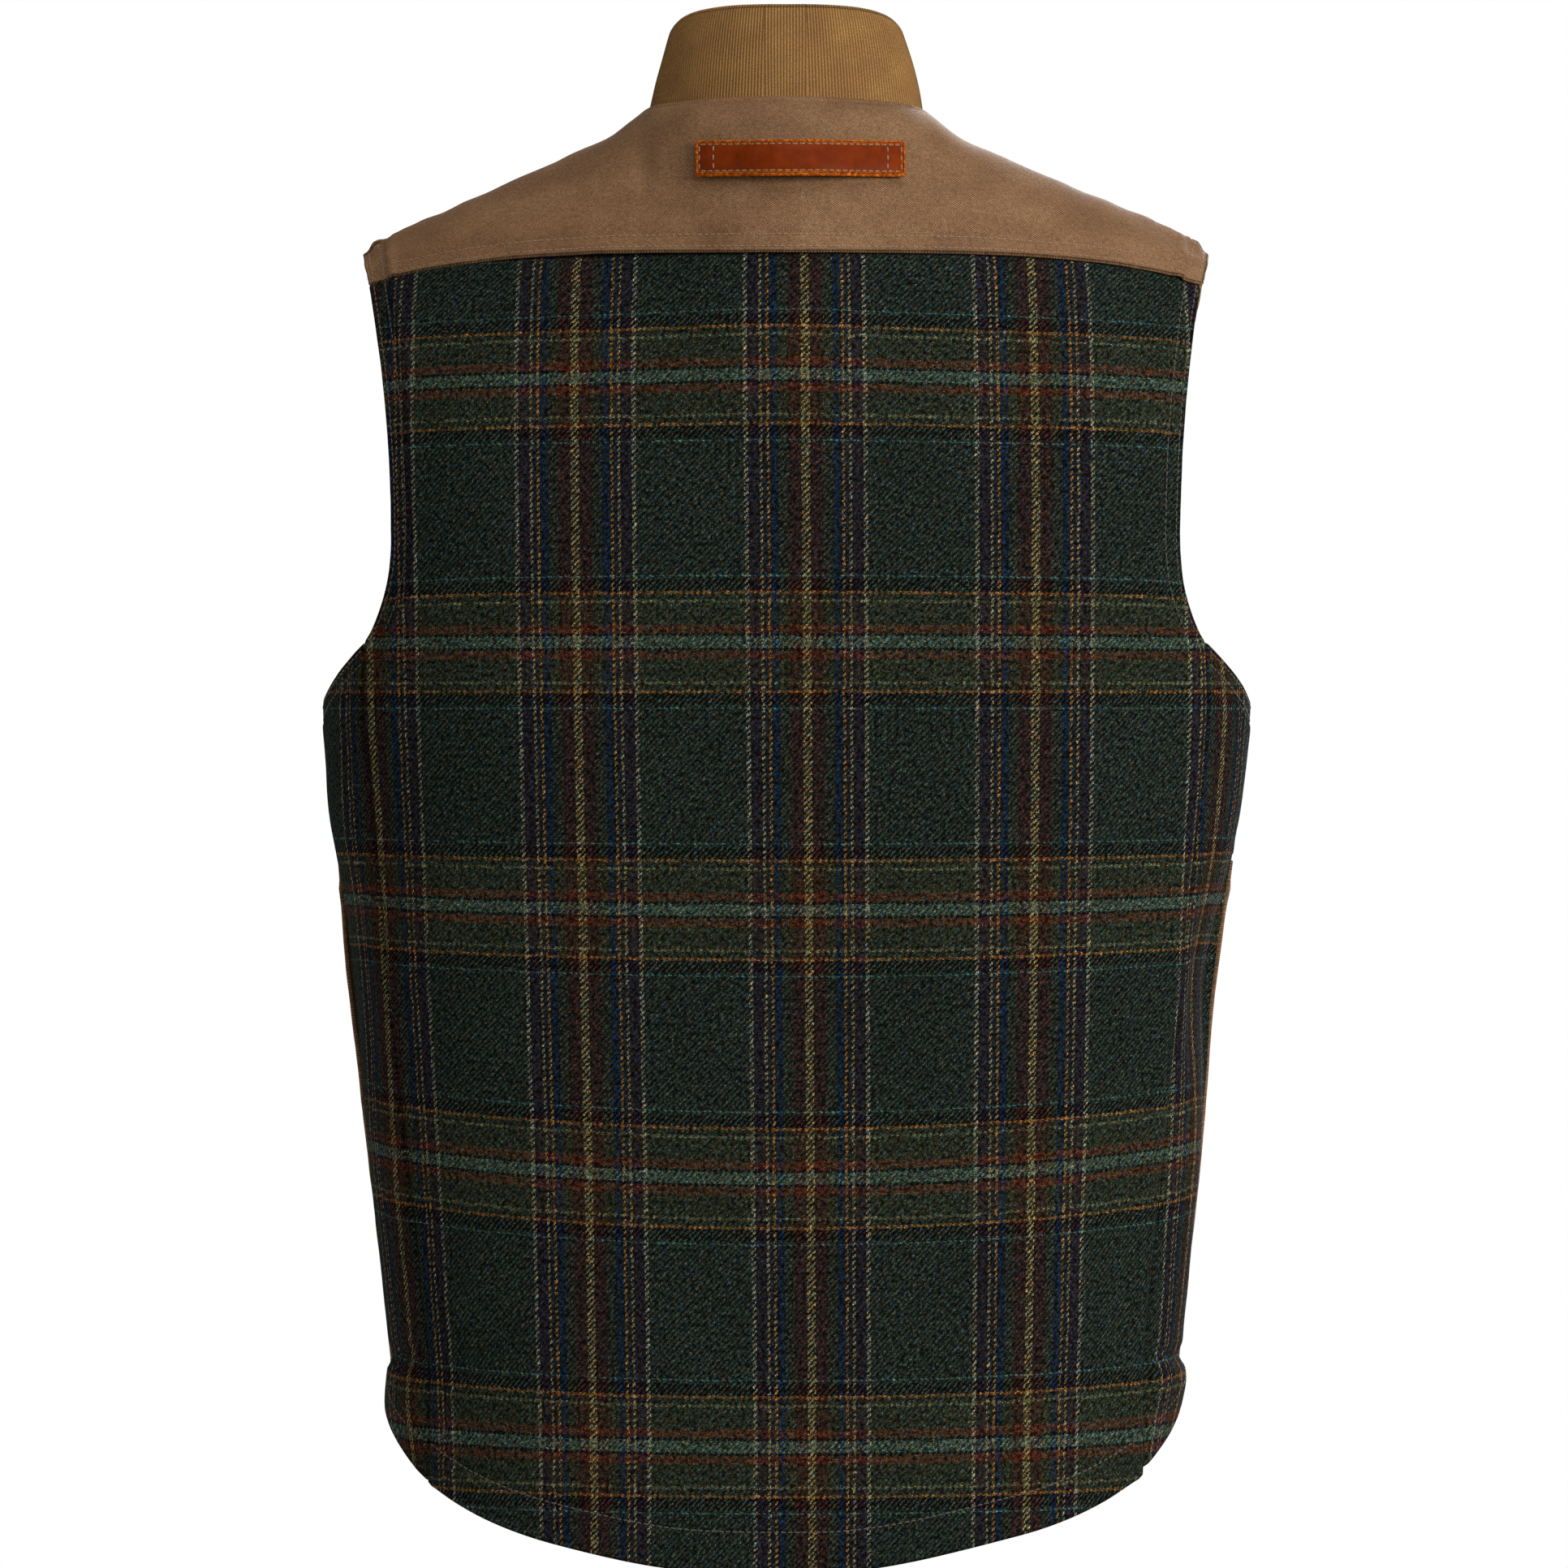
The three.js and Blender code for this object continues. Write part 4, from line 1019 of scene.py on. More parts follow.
def yoke_grid(columns: Array, vs: Array, low_line: Callable[[Array], Array], back: bool) -> Array:
    """A yoke's grid. A column keeps its share of the way from the neck to the armhole, and its
    rows run up evenly round the closing curve, height = start + span * sin(angle)^(2/q). Near
    the shoulder seam the cloth is pulled straight and stands up over the armhole's band."""
    column, v = np.meshgrid(columns, vs)
    neck, power, start = BODY.neck_half_width, BODY.closing_power, BODY.closing_height
    low_h = low_line(column)
    share = (np.abs(column) - neck) / (BODY.armhole_width(low_h) - neck)
    x, h = column, low_h
    for _ in range(8):
        x = np.where(np.abs(column) > neck, np.sign(column) * mix(neck, BODY.armhole_width(h), share), column)
        top = BODY.true_top(x, back)
        first = np.arcsin(np.clip((low_h - start) / (top - start), 0.0, 1.0) ** (power / 2.0))
        h = start + (top - start) * np.sin(mix(first, np.pi / 2.0 - 0.012, v)) ** (2.0 / power)
    grid = BODY.point(x, h, back)
    out = np.abs(grid[..., 0])
    panel = 1.5 * smooth(out, 178.0, 187.0) * (1.0 - smooth(out, 190.0, 192.5))
    band = 2.4 * smooth(out, 192.0, 198.0) - 3.4 * smooth(out, 199.5, 203.0)
    pulled = 1.3 * bump(out, 128.0, 17.0) + 2.1 * bump(out, 177.0, 10.0) + 1.1 * smooth(out, 186.0, 194.0)
    pulled -= 2.4 * bump(out, 84.0, 11.0)
    grid[..., 2] += (panel + band + pulled) * smooth(v, 0.55, 1.0)
    return grid


@dataclass(frozen=True)
class BackPanel:
    """The tweed back: a shirt-tail hem, side seams, and armholes turned under in a flat band.

    x = u * edge(h), with h from the hem (v = 0) to the top of the side seams (1) and on to just
    under the yoke (2)."""

    band: float = 11.0
    hem_turn: float = 19.0
    tuck: float = 5.0
    thickness: float = 2.0

    def grid(self, us: Array, vs: Array, tuck: float) -> Array:
        """Solves x and h together, since each depends on the other."""
        u, v = np.meshgrid(us, vs)
        h = mix(0.0, BODY.side_top, v)
        x = u
        for _ in range(14):
            x = u * (BODY.back_edge(h) - 0.25)
            above = mix(BODY.side_top, BODY.yoke_line(x) + tuck, v - 1.0)
            h = np.where(v < 1.0, mix(BODY.hem_at(x), BODY.side_top, v), above)
        return settled(BODY.point(x, h, True))

    def build(self, finishes: Finishes) -> None:
        """The panel, its topstitching and its lining."""
        us = spaced((-1.0, -0.915, 17), (-0.915, 0.915, 78), (0.915, 1.0, 17))
        vs = spaced((0.0, 0.07, 16), (0.07, 0.97, 66), (0.97, 1.05, 12), (1.05, 1.93, 50), (1.93, 2.0, 12))
        grid = self.grid(us, vs, self.tuck)
        reach = Reach.of(grid)
        x, h = grid[..., 0], grid[..., 2]
        run = -(reach.near - reach.near[:, len(us) // 2][:, None])
        edge = 1.0 - smooth(reach.side, self.band - 0.4, self.band + 1.6)
        seam = 1.0 - smooth(h, BODY.side_top - 6.0, BODY.side_top)
        relief = (
            creased(x, h, 1.3, 0.16, 3)
            - 1.2 * edge * smooth(h, BODY.side_top - 4.0, BODY.side_top + 5.0)
            + 0.5 * bump(reach.side, self.band + 4.0, 3.0) * (1.0 - seam)
            - 0.7 * bump(reach.low, self.hem_turn, 1.8)
            + 0.5 * bump(reach.low, self.hem_turn - 6.0, 5.0)
            + 0.6 * bump(reach.side, 3.5, 2.0) * seam
            + 1.8 * bump(np.where(x < 0.0, reach.side, 99.0), 9.0, 7.0) * seam * smooth(h, 30.0, 120.0)
            + 1.2 * bump(np.where(x < 0.0, reach.side, 99.0), 2.0, 8.0) * (1.0 - smooth(h, 80.0, 140.0))
            - 2.7 * (1.0 - smooth(reach.high, self.tuck, self.tuck + 4.5))
        )
        panel = Panel("back_panel", us, vs, grid, tweed_uv(grid, run), relief, self.thickness)
        piece = panel.build(finishes.tweed, ["back_panel"], "tweed", ["back_yoke"])
        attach(piece, "root")
        thread = Stitching("back_topstitch", finishes.gold_thread)
        thread.add(*panel.row_at(self.hem_turn, (-0.995, 0.995)))
        for far in (False, True):
            for distance in (2.0, 8.4):
                thread.add(*panel.column_at(distance, (1.03, 1.985), far))
        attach(thread.build("tweed"), "root")
        self._lining(finishes)

    def _lining(self, finishes: Finishes) -> None:
        """The lining: the same cut, drawn in 3 mm and laid inside the tweed."""
        us, vs = np.linspace(-0.982, 0.982, 49), spaced((0.012, 1.0, 40), (1.0, 1.996, 26))
        grid = self.grid(us, vs, 0.0)
        lining = Panel("back_lining", us, vs, grid, cloth_uv(grid, grid[..., 0], 300.0),
                       np.full(grid.shape[:2], -4.0), 0.8)
        piece = lining.build(finishes.lining, ["back_lining"], "lining", ["back_panel"])
        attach(piece, "root")


@dataclass(frozen=True)
class Yoke:
    """A waxed-canvas yoke, back or front, with its lining. Its lower edge laps over the tweed."""

    band: float = 11.0
    thickness: float = 2.0

    def build_back(self, finishes: Finishes) -> None:
        """The back yoke, from armhole to armhole."""
        tip = float(BODY.armhole_width(BODY.yoke_line(200.0)))
        us = spaced((-1.0, -0.92, 16), (-0.92, 0.92, 110), (0.92, 1.0, 16))
        vs = spaced((0.0, 0.16, 16), (0.16, 0.9, 40), (0.9, 1.0, 12))
        grid = yoke_grid(us * tip, vs, BODY.yoke_line, True)
        reach = Reach.of(grid)
        x, h = grid[..., 0], grid[..., 2]
        at_neck = 1.0 - smooth(np.abs(x), 60.0, 72.0)
        centre = reach.near[:, len(us) // 2][:, None]
        relief = (
            creased(x, h, 1.0, 0.3, 11)
            + 0.7
            - 1.4 * (1.0 - smooth(reach.side, self.band - 0.2, self.band + 1.0))
            + 0.9 * bump(reach.side, self.band + 3.0, 3.0)
            + 0.9 * bump(reach.low, 14.0, 5.0)
            - 0.3 * bump(reach.low, 8.0, 1.3)
            - 0.3 * bump(reach.low, 2.0, 1.0)
            + 0.9 * bump(reach.high, 4.0, 2.4) * at_neck
            - 0.5 * bump(reach.high, 8.0, 1.2) * at_neck
            - 0.9 * (1.0 - smooth(reach.high, 0.0, 4.0)) * (1.0 - at_neck)
        )
        uv = cloth_uv(grid, -(reach.near - centre), 630.0)
        panel = Panel("back_yoke", us, vs, grid, uv, relief, self.thickness)
        piece = panel.build(finishes.canvas, ["back_yoke"], "waxed_canvas", ["back_yoke_lining"])
        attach(piece, "root")
        thread = Stitching("back_yoke_topstitch", finishes.tan_thread)
        for distance in (2.0, 8.0):
            thread.add(*panel.row_at(distance, (-0.995, 0.995)))
            thread.add(*panel.column_at(distance + 0.3, (0.03, 0.97)))
            thread.add(*panel.column_at(distance + 0.3, (0.03, 0.97), True))
        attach(thread.build("waxed_canvas"), "root")
        columns = np.linspace(-0.985, 0.985, 61) * tip
        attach(self._lining("back_yoke_lining", columns, BODY.yoke_line, True, finishes), "root")

    def _lining(self, name: str, columns: Array, low_line: Callable[[Array], Array], back: bool,
                finishes: Finishes) -> bpy.types.Object:
        """A plain lining on the yoke's own grid, 3 mm in."""
        vs = np.linspace(0.006, 0.96, 28)
        grid = yoke_grid(columns, vs, low_line, back)
        lining = Panel(name, columns, vs, grid, cloth_uv(grid, grid[..., 0], 630.0),
                       np.full(grid.shape[:2], -3.4), 0.8)
        return lining.build(finishes.lining, [name], "lining", ["back_yoke"])


@dataclass(frozen=True)
class SidePanel:
    """A tweed side panel between the side seam behind and the seam with the front. Both edges
    run under the cloth beside them."""

    side: Side
    tuck_degrees: float = 1.6
    thickness: float = 2.0

    def grid(self, us: Array, vs: Array, low: float, high: float) -> Array:
        """x = width at an angle between low and high; h from the hem to the armhole's floor."""
        u, v = np.meshgrid(us, vs)
        angle = mix(low, high, u)
        h = mix(BODY.hem(angle), BODY.armhole_floor(np.clip(angle, BODY.back_seam, BODY.front_seam)), v)
        x = BODY.width_at(angle, h)
        points = np.where((angle < 90.0)[..., None], BODY.point(x, h, True), BODY.point(x, h, False))
        return settled(points * [self.side.value, 1.0, 1.0])

    def build(self, finishes: Finishes) -> None:
        """The panel and its lining."""
        tag, sign = self.side.tag, float(self.side.value)
        low, high = BODY.back_seam - self.tuck_degrees, BODY.front_seam + self.tuck_degrees
        us = spaced((0.0, 0.12, 10), (0.12, 0.88, 34), (0.88, 1.0, 10))
        vs = spaced((0.0, 0.1, 14), (0.1, 0.93, 80), (0.93, 1.0, 12))
        grid = self.grid(us, vs, low, high)
        reach = Reach.of(grid)
        h = grid[..., 2]
        seam_x = BODY.width_at(low, h)
        samples = seam_x[..., None] * np.linspace(0.0, 1.0, 40)
        line = BODY.point(samples, np.broadcast_to(h[..., None], samples.shape), True)
        seam_run = np.linalg.norm(np.diff(line, axis=-2), axis=-1).sum(-1)
        run = -sign * (seam_run + reach.near)
        right = self.side is Side.RIGHT
        pinch = 8.0 if right else 2.4
        swell = 2.8 * bump(h, 91.0, 13.0) if right else 3.2 * bump(h, 80.0, 22.0)
        relief = (
            creased(run, h, 1.0, 0.16, 23 if right else 29)
            - 3.0 * (1.0 - smooth(reach.near, 3.0, 7.0))
            - 3.0 * (1.0 - smooth(reach.far, 3.0, 7.0))
            + swell * smooth(reach.near, 4.0, 16.0)
            + (0.0 if right else 2.4 * bump(h, 365.0, 26.0)) * smooth(reach.near, 4.0, 30.0)
            - 2.4 * bump(h, 102.0, 4.5)
            - (3.5 * bump(h, 48.0, 20.0) if right else 0.0)
            - (3.2 * (1.0 - smooth(reach.near, 5.0, 15.0)) * (1.0 - smooth(h, 90.0, 130.0)) if right else 0.0)
            - pinch * bump(h, 285.0, 52.0) * smooth(reach.near, 6.0, 30.0) * smooth(reach.far, 1.0, 15.0)
            - 0.9 * (1.0 - smooth(reach.high, 10.4, 12.4))
        )
        panel = Panel(f"side_panel_{tag}", us, vs, grid, tweed_uv(grid, run), relief, self.thickness)
        piece = panel.build(finishes.tweed, [f"side_panel_{tag}"], "tweed", ["back_panel"])
        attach(piece, "root")
        thread = Stitching(f"side_topstitch_{tag}", finishes.gold_thread)
        thread.add(*panel.row_at(18.0, (0.1, 0.9)))
        for distance in (2.0, 8.4):
            thread.add(*panel.row_at(distance, (0.08, 0.92), True))
        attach(thread.build("tweed"), "root")
        us, vs = np.linspace(0.04, 0.96, 22), np.linspace(0.01, 0.99, 50)
        grid = self.grid(us, vs, BODY.back_seam, BODY.front_seam)
        inside = -5.4 - (pinch + 1.0) * bump(grid[..., 2], 285.0, 60.0)
        lining = Panel(f"side_lining_{tag}", us, vs, grid, cloth_uv(grid, Reach.of(grid).near, 300.0),
                       inside, 0.8)
        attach(lining.build(finishes.lining, [lining.name], "lining", [panel.name]), "root")


@dataclass(frozen=True)
class Collar:
    """The rib-knit stand collar, a back length and two front lengths.

    With a the angle from the nape to the zip, the base is the collar seam and the edge stands at
    top - drop * sin(a/2)^3.34. Wales are small waves across the cloth."""

    edge_drop: float = 51.0
    edge_power: float = 1.67
    taper: float = 0.85
    lean: float = 0.8
    fade: float = 60.0
    bow: float = 1.2
    thickness: float = 3.4
    wale: float = 1.5
    stand: float = 52.0
    zip_edge: float = 9.5

    def grid(self, degrees: Array, vs: Array) -> Array:
        """Points for angles from the nape, negative on the wearer's right."""
        angle, v = np.meshgrid(np.radians(np.abs(degrees)), vs)
        sign = np.where(degrees < 0.0, -1.0, 1.0)[None, :]
        back = angle < np.pi / 2.0 - 1e-9
        seam_x = BODY.neck_half_width * np.sin(angle)
        inside = np.minimum(seam_x, BODY.neck_half_width - 1e-6)
        depth_back, depth_front = BODY.neck_depth(inside, True), BODY.neck_depth(inside, False)
        low_y = np.where(back, depth_back, -depth_front)
        low_z = np.where(back, BODY.true_top(inside, True), BODY.true_top(inside, False)) + 1.2
        top_z = BODY.collar_top - self.edge_drop * np.sin(angle / 2.0) ** (2.0 * self.edge_power)
        front_y = -BODY.zip_depth(top_z) * np.abs(np.cos(angle)) ** BODY.neck_front_power
        top_y = np.where(back, depth_back * self.lean, front_y)
        fading = np.clip((np.degrees(angle) - 180.0 + self.fade) / self.fade, 0.0, 1.0)
        least = np.minimum(seam_x, self.zip_edge)
        top_x = np.maximum(seam_x * mix(self.taper, 1.0, fading), least)
        swell = self.bow * np.sin(np.pi * v) * np.sin(angle)
        x = mix(seam_x, top_x, v) + swell
        return np.stack([sign * x, mix(low_y, top_y, v), mix(low_z, top_z, v)], -1)

    def length(self, name: str, first: float, last: float, seed: int, finishes: Finishes) -> bpy.types.Object:
        """One length of the collar between two angles, with six columns to a wale."""
        coarse = np.linspace(first, last, 400)
        line = self.grid(coarse, np.array([0.5]))[0]
        run = np.concatenate([[0.0], np.cumsum(np.linalg.norm(np.diff(line, axis=0), axis=1))])
        wales = round(run[-1] / self.wale)
        at = np.linspace(0.0, run[-1], wales * 6 + 1)
        degrees = np.interp(at, run, coarse)
        vs = spaced((-0.05, 0.1, 4), (0.1, 0.9, 10), (0.9, 0.965, 4))
        grid = self.grid(degrees, vs)
        across = np.broadcast_to(at - at.mean(), grid.shape[:2])
        height = grid[..., 2]
        wave = 0.2 * np.cos(2.0 * np.pi * np.broadcast_to(at, grid.shape[:2]) * wales / run[-1])
        soft = 1.1 * soft_noise(across, height, 34.0, seed) + 0.3 * soft_noise(across, height, 14.0, seed + 1)
        uv = np.stack(np.meshgrid(at * wales * self.wale / run[-1], vs * self.stand), -1)
        panel = Panel(name, degrees, vs, grid, uv, wave + soft - 0.4, self.thickness, (0.0, 0.0, 720.0))
        return panel.build(finishes.rib, [name], "rib_knit", ["back_yoke"])

    def build(self, finishes: Finishes) -> None:
        """The three lengths, which meet at the shoulder seams."""
        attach(self.length("collar_back", -89.8, 89.8, 41, finishes), "root")
        end = 180.0 - math.degrees(math.asin(self.zip_edge / BODY.neck_half_width))
        for side in Side:
            sign = float(side.value)
            name = f"collar_front_{side.tag}"
            swing(self.length(name, sign * 90.2, sign * end, 43 + side.value, finishes))


def swing(piece: bpy.types.Object) -> bpy.types.Object:
    """Bakes a piece of a front's transform into its mesh."""
    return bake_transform(piece)


@dataclass(frozen=True)
class NetLoop:
    """The leather net loop: a strap sewn down at both ends that bows off the yoke between."""

    length: float = 102.0
    width: float = 19.0
    thickness: float = 2.4
    centre: float = -7.0
    height: float = BODY.shoulder - 26.5
    bow: float = 3.6
    tab: float = 12.0
    flat: float = 9.0

    def build(self, finishes: Finishes) -> None:
        """Strap and saddle stitching. Its rise over the yoke is a smoothstep from each tab."""
        inset = self.thickness / 2.0
        half, reach = self.length / 2.0 - inset, self.width / 2.0 - inset
        us = spaced((-half, -half + 6.0, 10), (-half + 6.0, half - 6.0, 70), (half - 6.0, half, 10))
        vs = spaced((-reach, -reach + 3.5, 9), (-reach + 3.5, reach - 3.5, 10), (reach - 3.5, reach, 9))
        x, w = np.meshgrid(us, vs)
        seat = BODY.point(self.centre + x, self.height, True)
        levels = (self.height - self.width / 2.0, self.height + self.width / 2.0)
        ends = [BODY.point(self.centre + x, level, True) for level in levels]
        along = unit(unit(ends[1] - ends[0]).mean(axis=(0, 1)))
        out = np.array([0.0, along[2], -along[1]])
        inside = (self.length / 2.0 - self.tab - np.abs(x)) / (self.length / 2.0 - self.tab - self.flat)
        bowed = (self.bow * smooth(inside))[..., None] * np.array([0.0, 1.0, 0.05])
        lift = (2.0 + self.thickness) * out + bowed
        grid = seat + w[..., None] * along + lift
        edge = np.minimum(half - np.abs(x), reach - np.abs(w))
        relief = 0.35 * smooth(edge, 1.0, 5.0) - 0.3 * bump(edge, 1.3, 0.6) + 0.12 * soft_noise(x, w, 9.0, 5)
        uv = np.stack([x, w], -1)
        panel = Panel("leather_loop", us, vs, grid, uv, relief, self.thickness, (0.0, 0.0, 600.0))
        inner = panel.outer - panel.normals * self.thickness
        points, quads, coords = closed_cloth(panel.outer, inner, uv, 7)
        piece = make_object("leather_loop", points, quads, finishes.leather, coords)
        rim = np.ones(len(points))
        rim[: x.size] = rim[x.size : 2 * x.size] = (1.0 - smooth(edge, 0.0, 1.0)).ravel()
        mark = piece.data.attributes.new("edge", "FLOAT", "POINT")
        mark.data.foreach_set("value", rim.astype(np.float32))
        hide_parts("leather_loop")
        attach(piece, "root")
        thread = Stitching("leather_loop_stitching", finishes.brown_thread, 3.6, 2.9, 0.85)
        for far in (False, True):
            thread.add(*panel.row_at(1.3, (-half + 1.3, half - 1.3), far))
            thread.add(*panel.column_at(1.3, (-reach + 1.3, reach - 1.3), far))
            thread.add(*panel.column_at(9.0, (-reach + 1.6, reach - 1.6), far))
        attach(thread.build("leather"), "root")


@dataclass(frozen=True)
class Front:
    """One front: canvas below the waist seam, tweed above it, a canvas yoke and a lining."""

    side: Side
    zip_edge: float = 8.0
    tuck: float = 5.0
    behind_pocket: float = -0.7
    thickness: float = 2.0

    def grid(self, shares: Array, heights: Array) -> Array:
        """x runs from the zip to the side seam, or to the armhole."""
        share, h = np.meshgrid(shares, heights)
        x = self.zip_edge + (BODY.front_edge(h) - 0.25 - self.zip_edge) * share
        return BODY.point(x, h, False) * [self.side.value, 1.0, 1.0]

    def build(self, finishes: Finishes) -> None:
        """Every cloth of the front."""
        tag = self.side.tag
        right = self.side is Side.RIGHT
        us = spaced((0.0, 0.06, 8), (0.06, 0.92, 44), (0.92, 1.0, 16))
        heights = spaced((BODY.hem_drop, 100.0, 10), (100.0, BODY.waist_seam, 56))
        swell = -1.4 if right else 1.2
        self._panel(f"lower_front_{tag}", us, heights, finishes.canvas, "waxed_canvas", finishes, swell)
        top = BODY.front_yoke + self.tuck
        heights = spaced((BODY.waist_seam - self.tuck, 350.0, 8), (350.0, 440.0, 26), (440.0, 590.0, 40),
                         (590.0, top, 10))
        self._panel(f"upper_front_{tag}", us, heights, finishes.tweed, "tweed", finishes, 0.0)
        self._yoke(finishes)
        shares = np.linspace(0.02, 0.985, 40)
        levels = np.linspace(BODY.hem_drop + 3.0, BODY.front_yoke - 3.0, 70)
        grid = self.grid(shares, levels)
        uv = cloth_uv(grid, Reach.of(grid).near, 300.0)
        inside = np.full(grid.shape[:2], -5.0)
        lining = Panel(f"front_lining_{tag}", shares, levels, grid, uv, inside, 0.8)
        swing(lining.build(finishes.lining, [lining.name], "lining", [f"upper_front_{tag}"]))

    def _panel(self, name: str, us: Array, heights: Array, material: bpy.types.Material, slot: str,
               finishes: Finishes, swell: float) -> None:
        """A panel with its folded zip edge; `swell` is how far its side stands out at the waist."""
        grid = self.grid(us, heights)
        reach = Reach.of(grid)
        x, h = grid[..., 0], grid[..., 2]
        sign = float(self.side.value)
        upper = slot == "tweed"
        run = -sign * (336.0 - reach.near)
        armhole = smooth(h, 424.0, 434.0)
        relief = (
            creased(x, h, 1.0, 0.2, 51)
            + 0.5 * bump(reach.near, 12.0, 4.0)
            - 0.3 * bump(reach.near, 6.0, 1.3)
            - 1.1 * armhole * (1.0 - smooth(reach.far, 10.6, 12.4))
            + swell * bump(h, 268.0, 60.0) * (1.0 - smooth(reach.far, 8.0, 60.0)) * (1.0 - armhole)
        )
        if upper:
            relief -= 2.8 * (1.0 - smooth(reach.low, self.tuck, self.tuck + 4.0))
            relief -= 2.7 * (1.0 - smooth(reach.high, self.tuck, self.tuck + 4.0))
        else:
            relief += 0.7 + 0.5 * bump(reach.high, 13.0, 5.0) - 0.4 * bump(reach.low, 18.0, 1.8)
            relief -= 0.3 * (bump(reach.high, 2.0, 1.0) + bump(reach.high, 8.0, 1.2))
        relief = mix(relief, self.behind_pocket, self._under_pocket(x, h, upper))
        uv = tweed_uv(grid, run, max(300.0, heights[0])) if upper else cloth_uv(grid, run, 300.0)
        panel = Panel(name, us, heights, grid, uv, relief, self.thickness)
        swing(panel.build(material, [name], slot, [f"front_yoke_{self.side.tag}"]))
        thread = Stitching(f"{name}_topstitch", finishes.gold_thread if upper else finishes.tan_thread)
        if upper:
            thread.add(*panel.column_at(6.0, (heights[0] + 9.0, heights[-1] - 7.0)))
            for distance in (2.0, 8.4):
                thread.add(*panel.column_at(distance, (436.0, heights[-1] - 7.0), True))
        else:
            thread.add(*panel.column_at(6.0, (heights[0] + 3.0, heights[-1] - 10.0)))
            thread.add(*panel.row_at(18.0, (0.035, 0.99)))
            for distance in (2.0, 8.0):
                thread.add(*panel.row_at(distance, (0.035, 0.99), True))
        swing(thread.build(slot))

    def _under_pocket(self, x: Array, h: Array, upper: bool) -> Array:
        """1 where the front lies flat behind its pocket and the flap's hinge, else 0."""
        level = 1.0 - smooth(h, 306.0, 320.0)
        if upper:
            level = smooth(h, 400.0, 412.0) * (1.0 - smooth(h, 534.0, 544.0))
        out = np.abs(x)
        return level * smooth(out, 20.0, 27.0) * (1.0 - smooth(out, 142.0 if upper else 158.0, 170.0))

    def _yoke(self, finishes: Finishes) -> None:
        """The front yoke, from the zip to the armhole, up to the collar and the shoulder."""
        tag, sign = self.side.tag, float(self.side.value)
        tip = float(BODY.armhole_width(BODY.front_yoke))
        columns = spaced((self.zip_edge, 16.0, 8), (16.0, tip - 15.0, 70), (tip - 15.0, tip, 16))
        vs = spaced((0.0, 0.14, 12), (0.14, 0.9, 40), (0.9, 1.0, 12))

        def low_line(x: Array) -> Array:
            """Level."""
            return 0.0 * x + BODY.front_yoke

        grid = yoke_grid(columns, vs, low_line, False) * [sign, 1.0, 1.0]
        reach = Reach.of(grid)
        x, h = grid[..., 0], grid[..., 2]
        outside = smooth(np.abs(x), 60.0, 72.0)
        relief = (
            creased(x, h, 0.8, 0.28, 61)
            + 0.7
            - 1.1 * (1.0 - smooth(reach.far, 10.6, 12.4))
            + 0.8 * bump(reach.low, 14.0, 5.0)
            - 0.3 * (bump(reach.low, 8.0, 1.3) + bump(reach.low, 2.0, 1.0))
            - 0.9 * (1.0 - smooth(reach.high, 0.0, 4.0)) * outside
        )
        relief = relief * smooth(reach.high, -2.0, 6.0)
        panel = Panel(f"front_yoke_{tag}", columns, vs, grid, cloth_uv(grid, reach.near, 600.0), relief,
                      self.thickness)
        swing(panel.build(finishes.canvas, [panel.name], "waxed_canvas", ["back_yoke"]))
        thread = Stitching(f"{panel.name}_topstitch", finishes.tan_thread)
        for distance in (2.0, 8.0):
            thread.add(*panel.row_at(distance, (columns[0] + 3.0, tip - 0.5)))
            thread.add(*panel.column_at(distance + 0.3, (0.03, 0.96), True))
        swing(thread.build("waxed_canvas"))


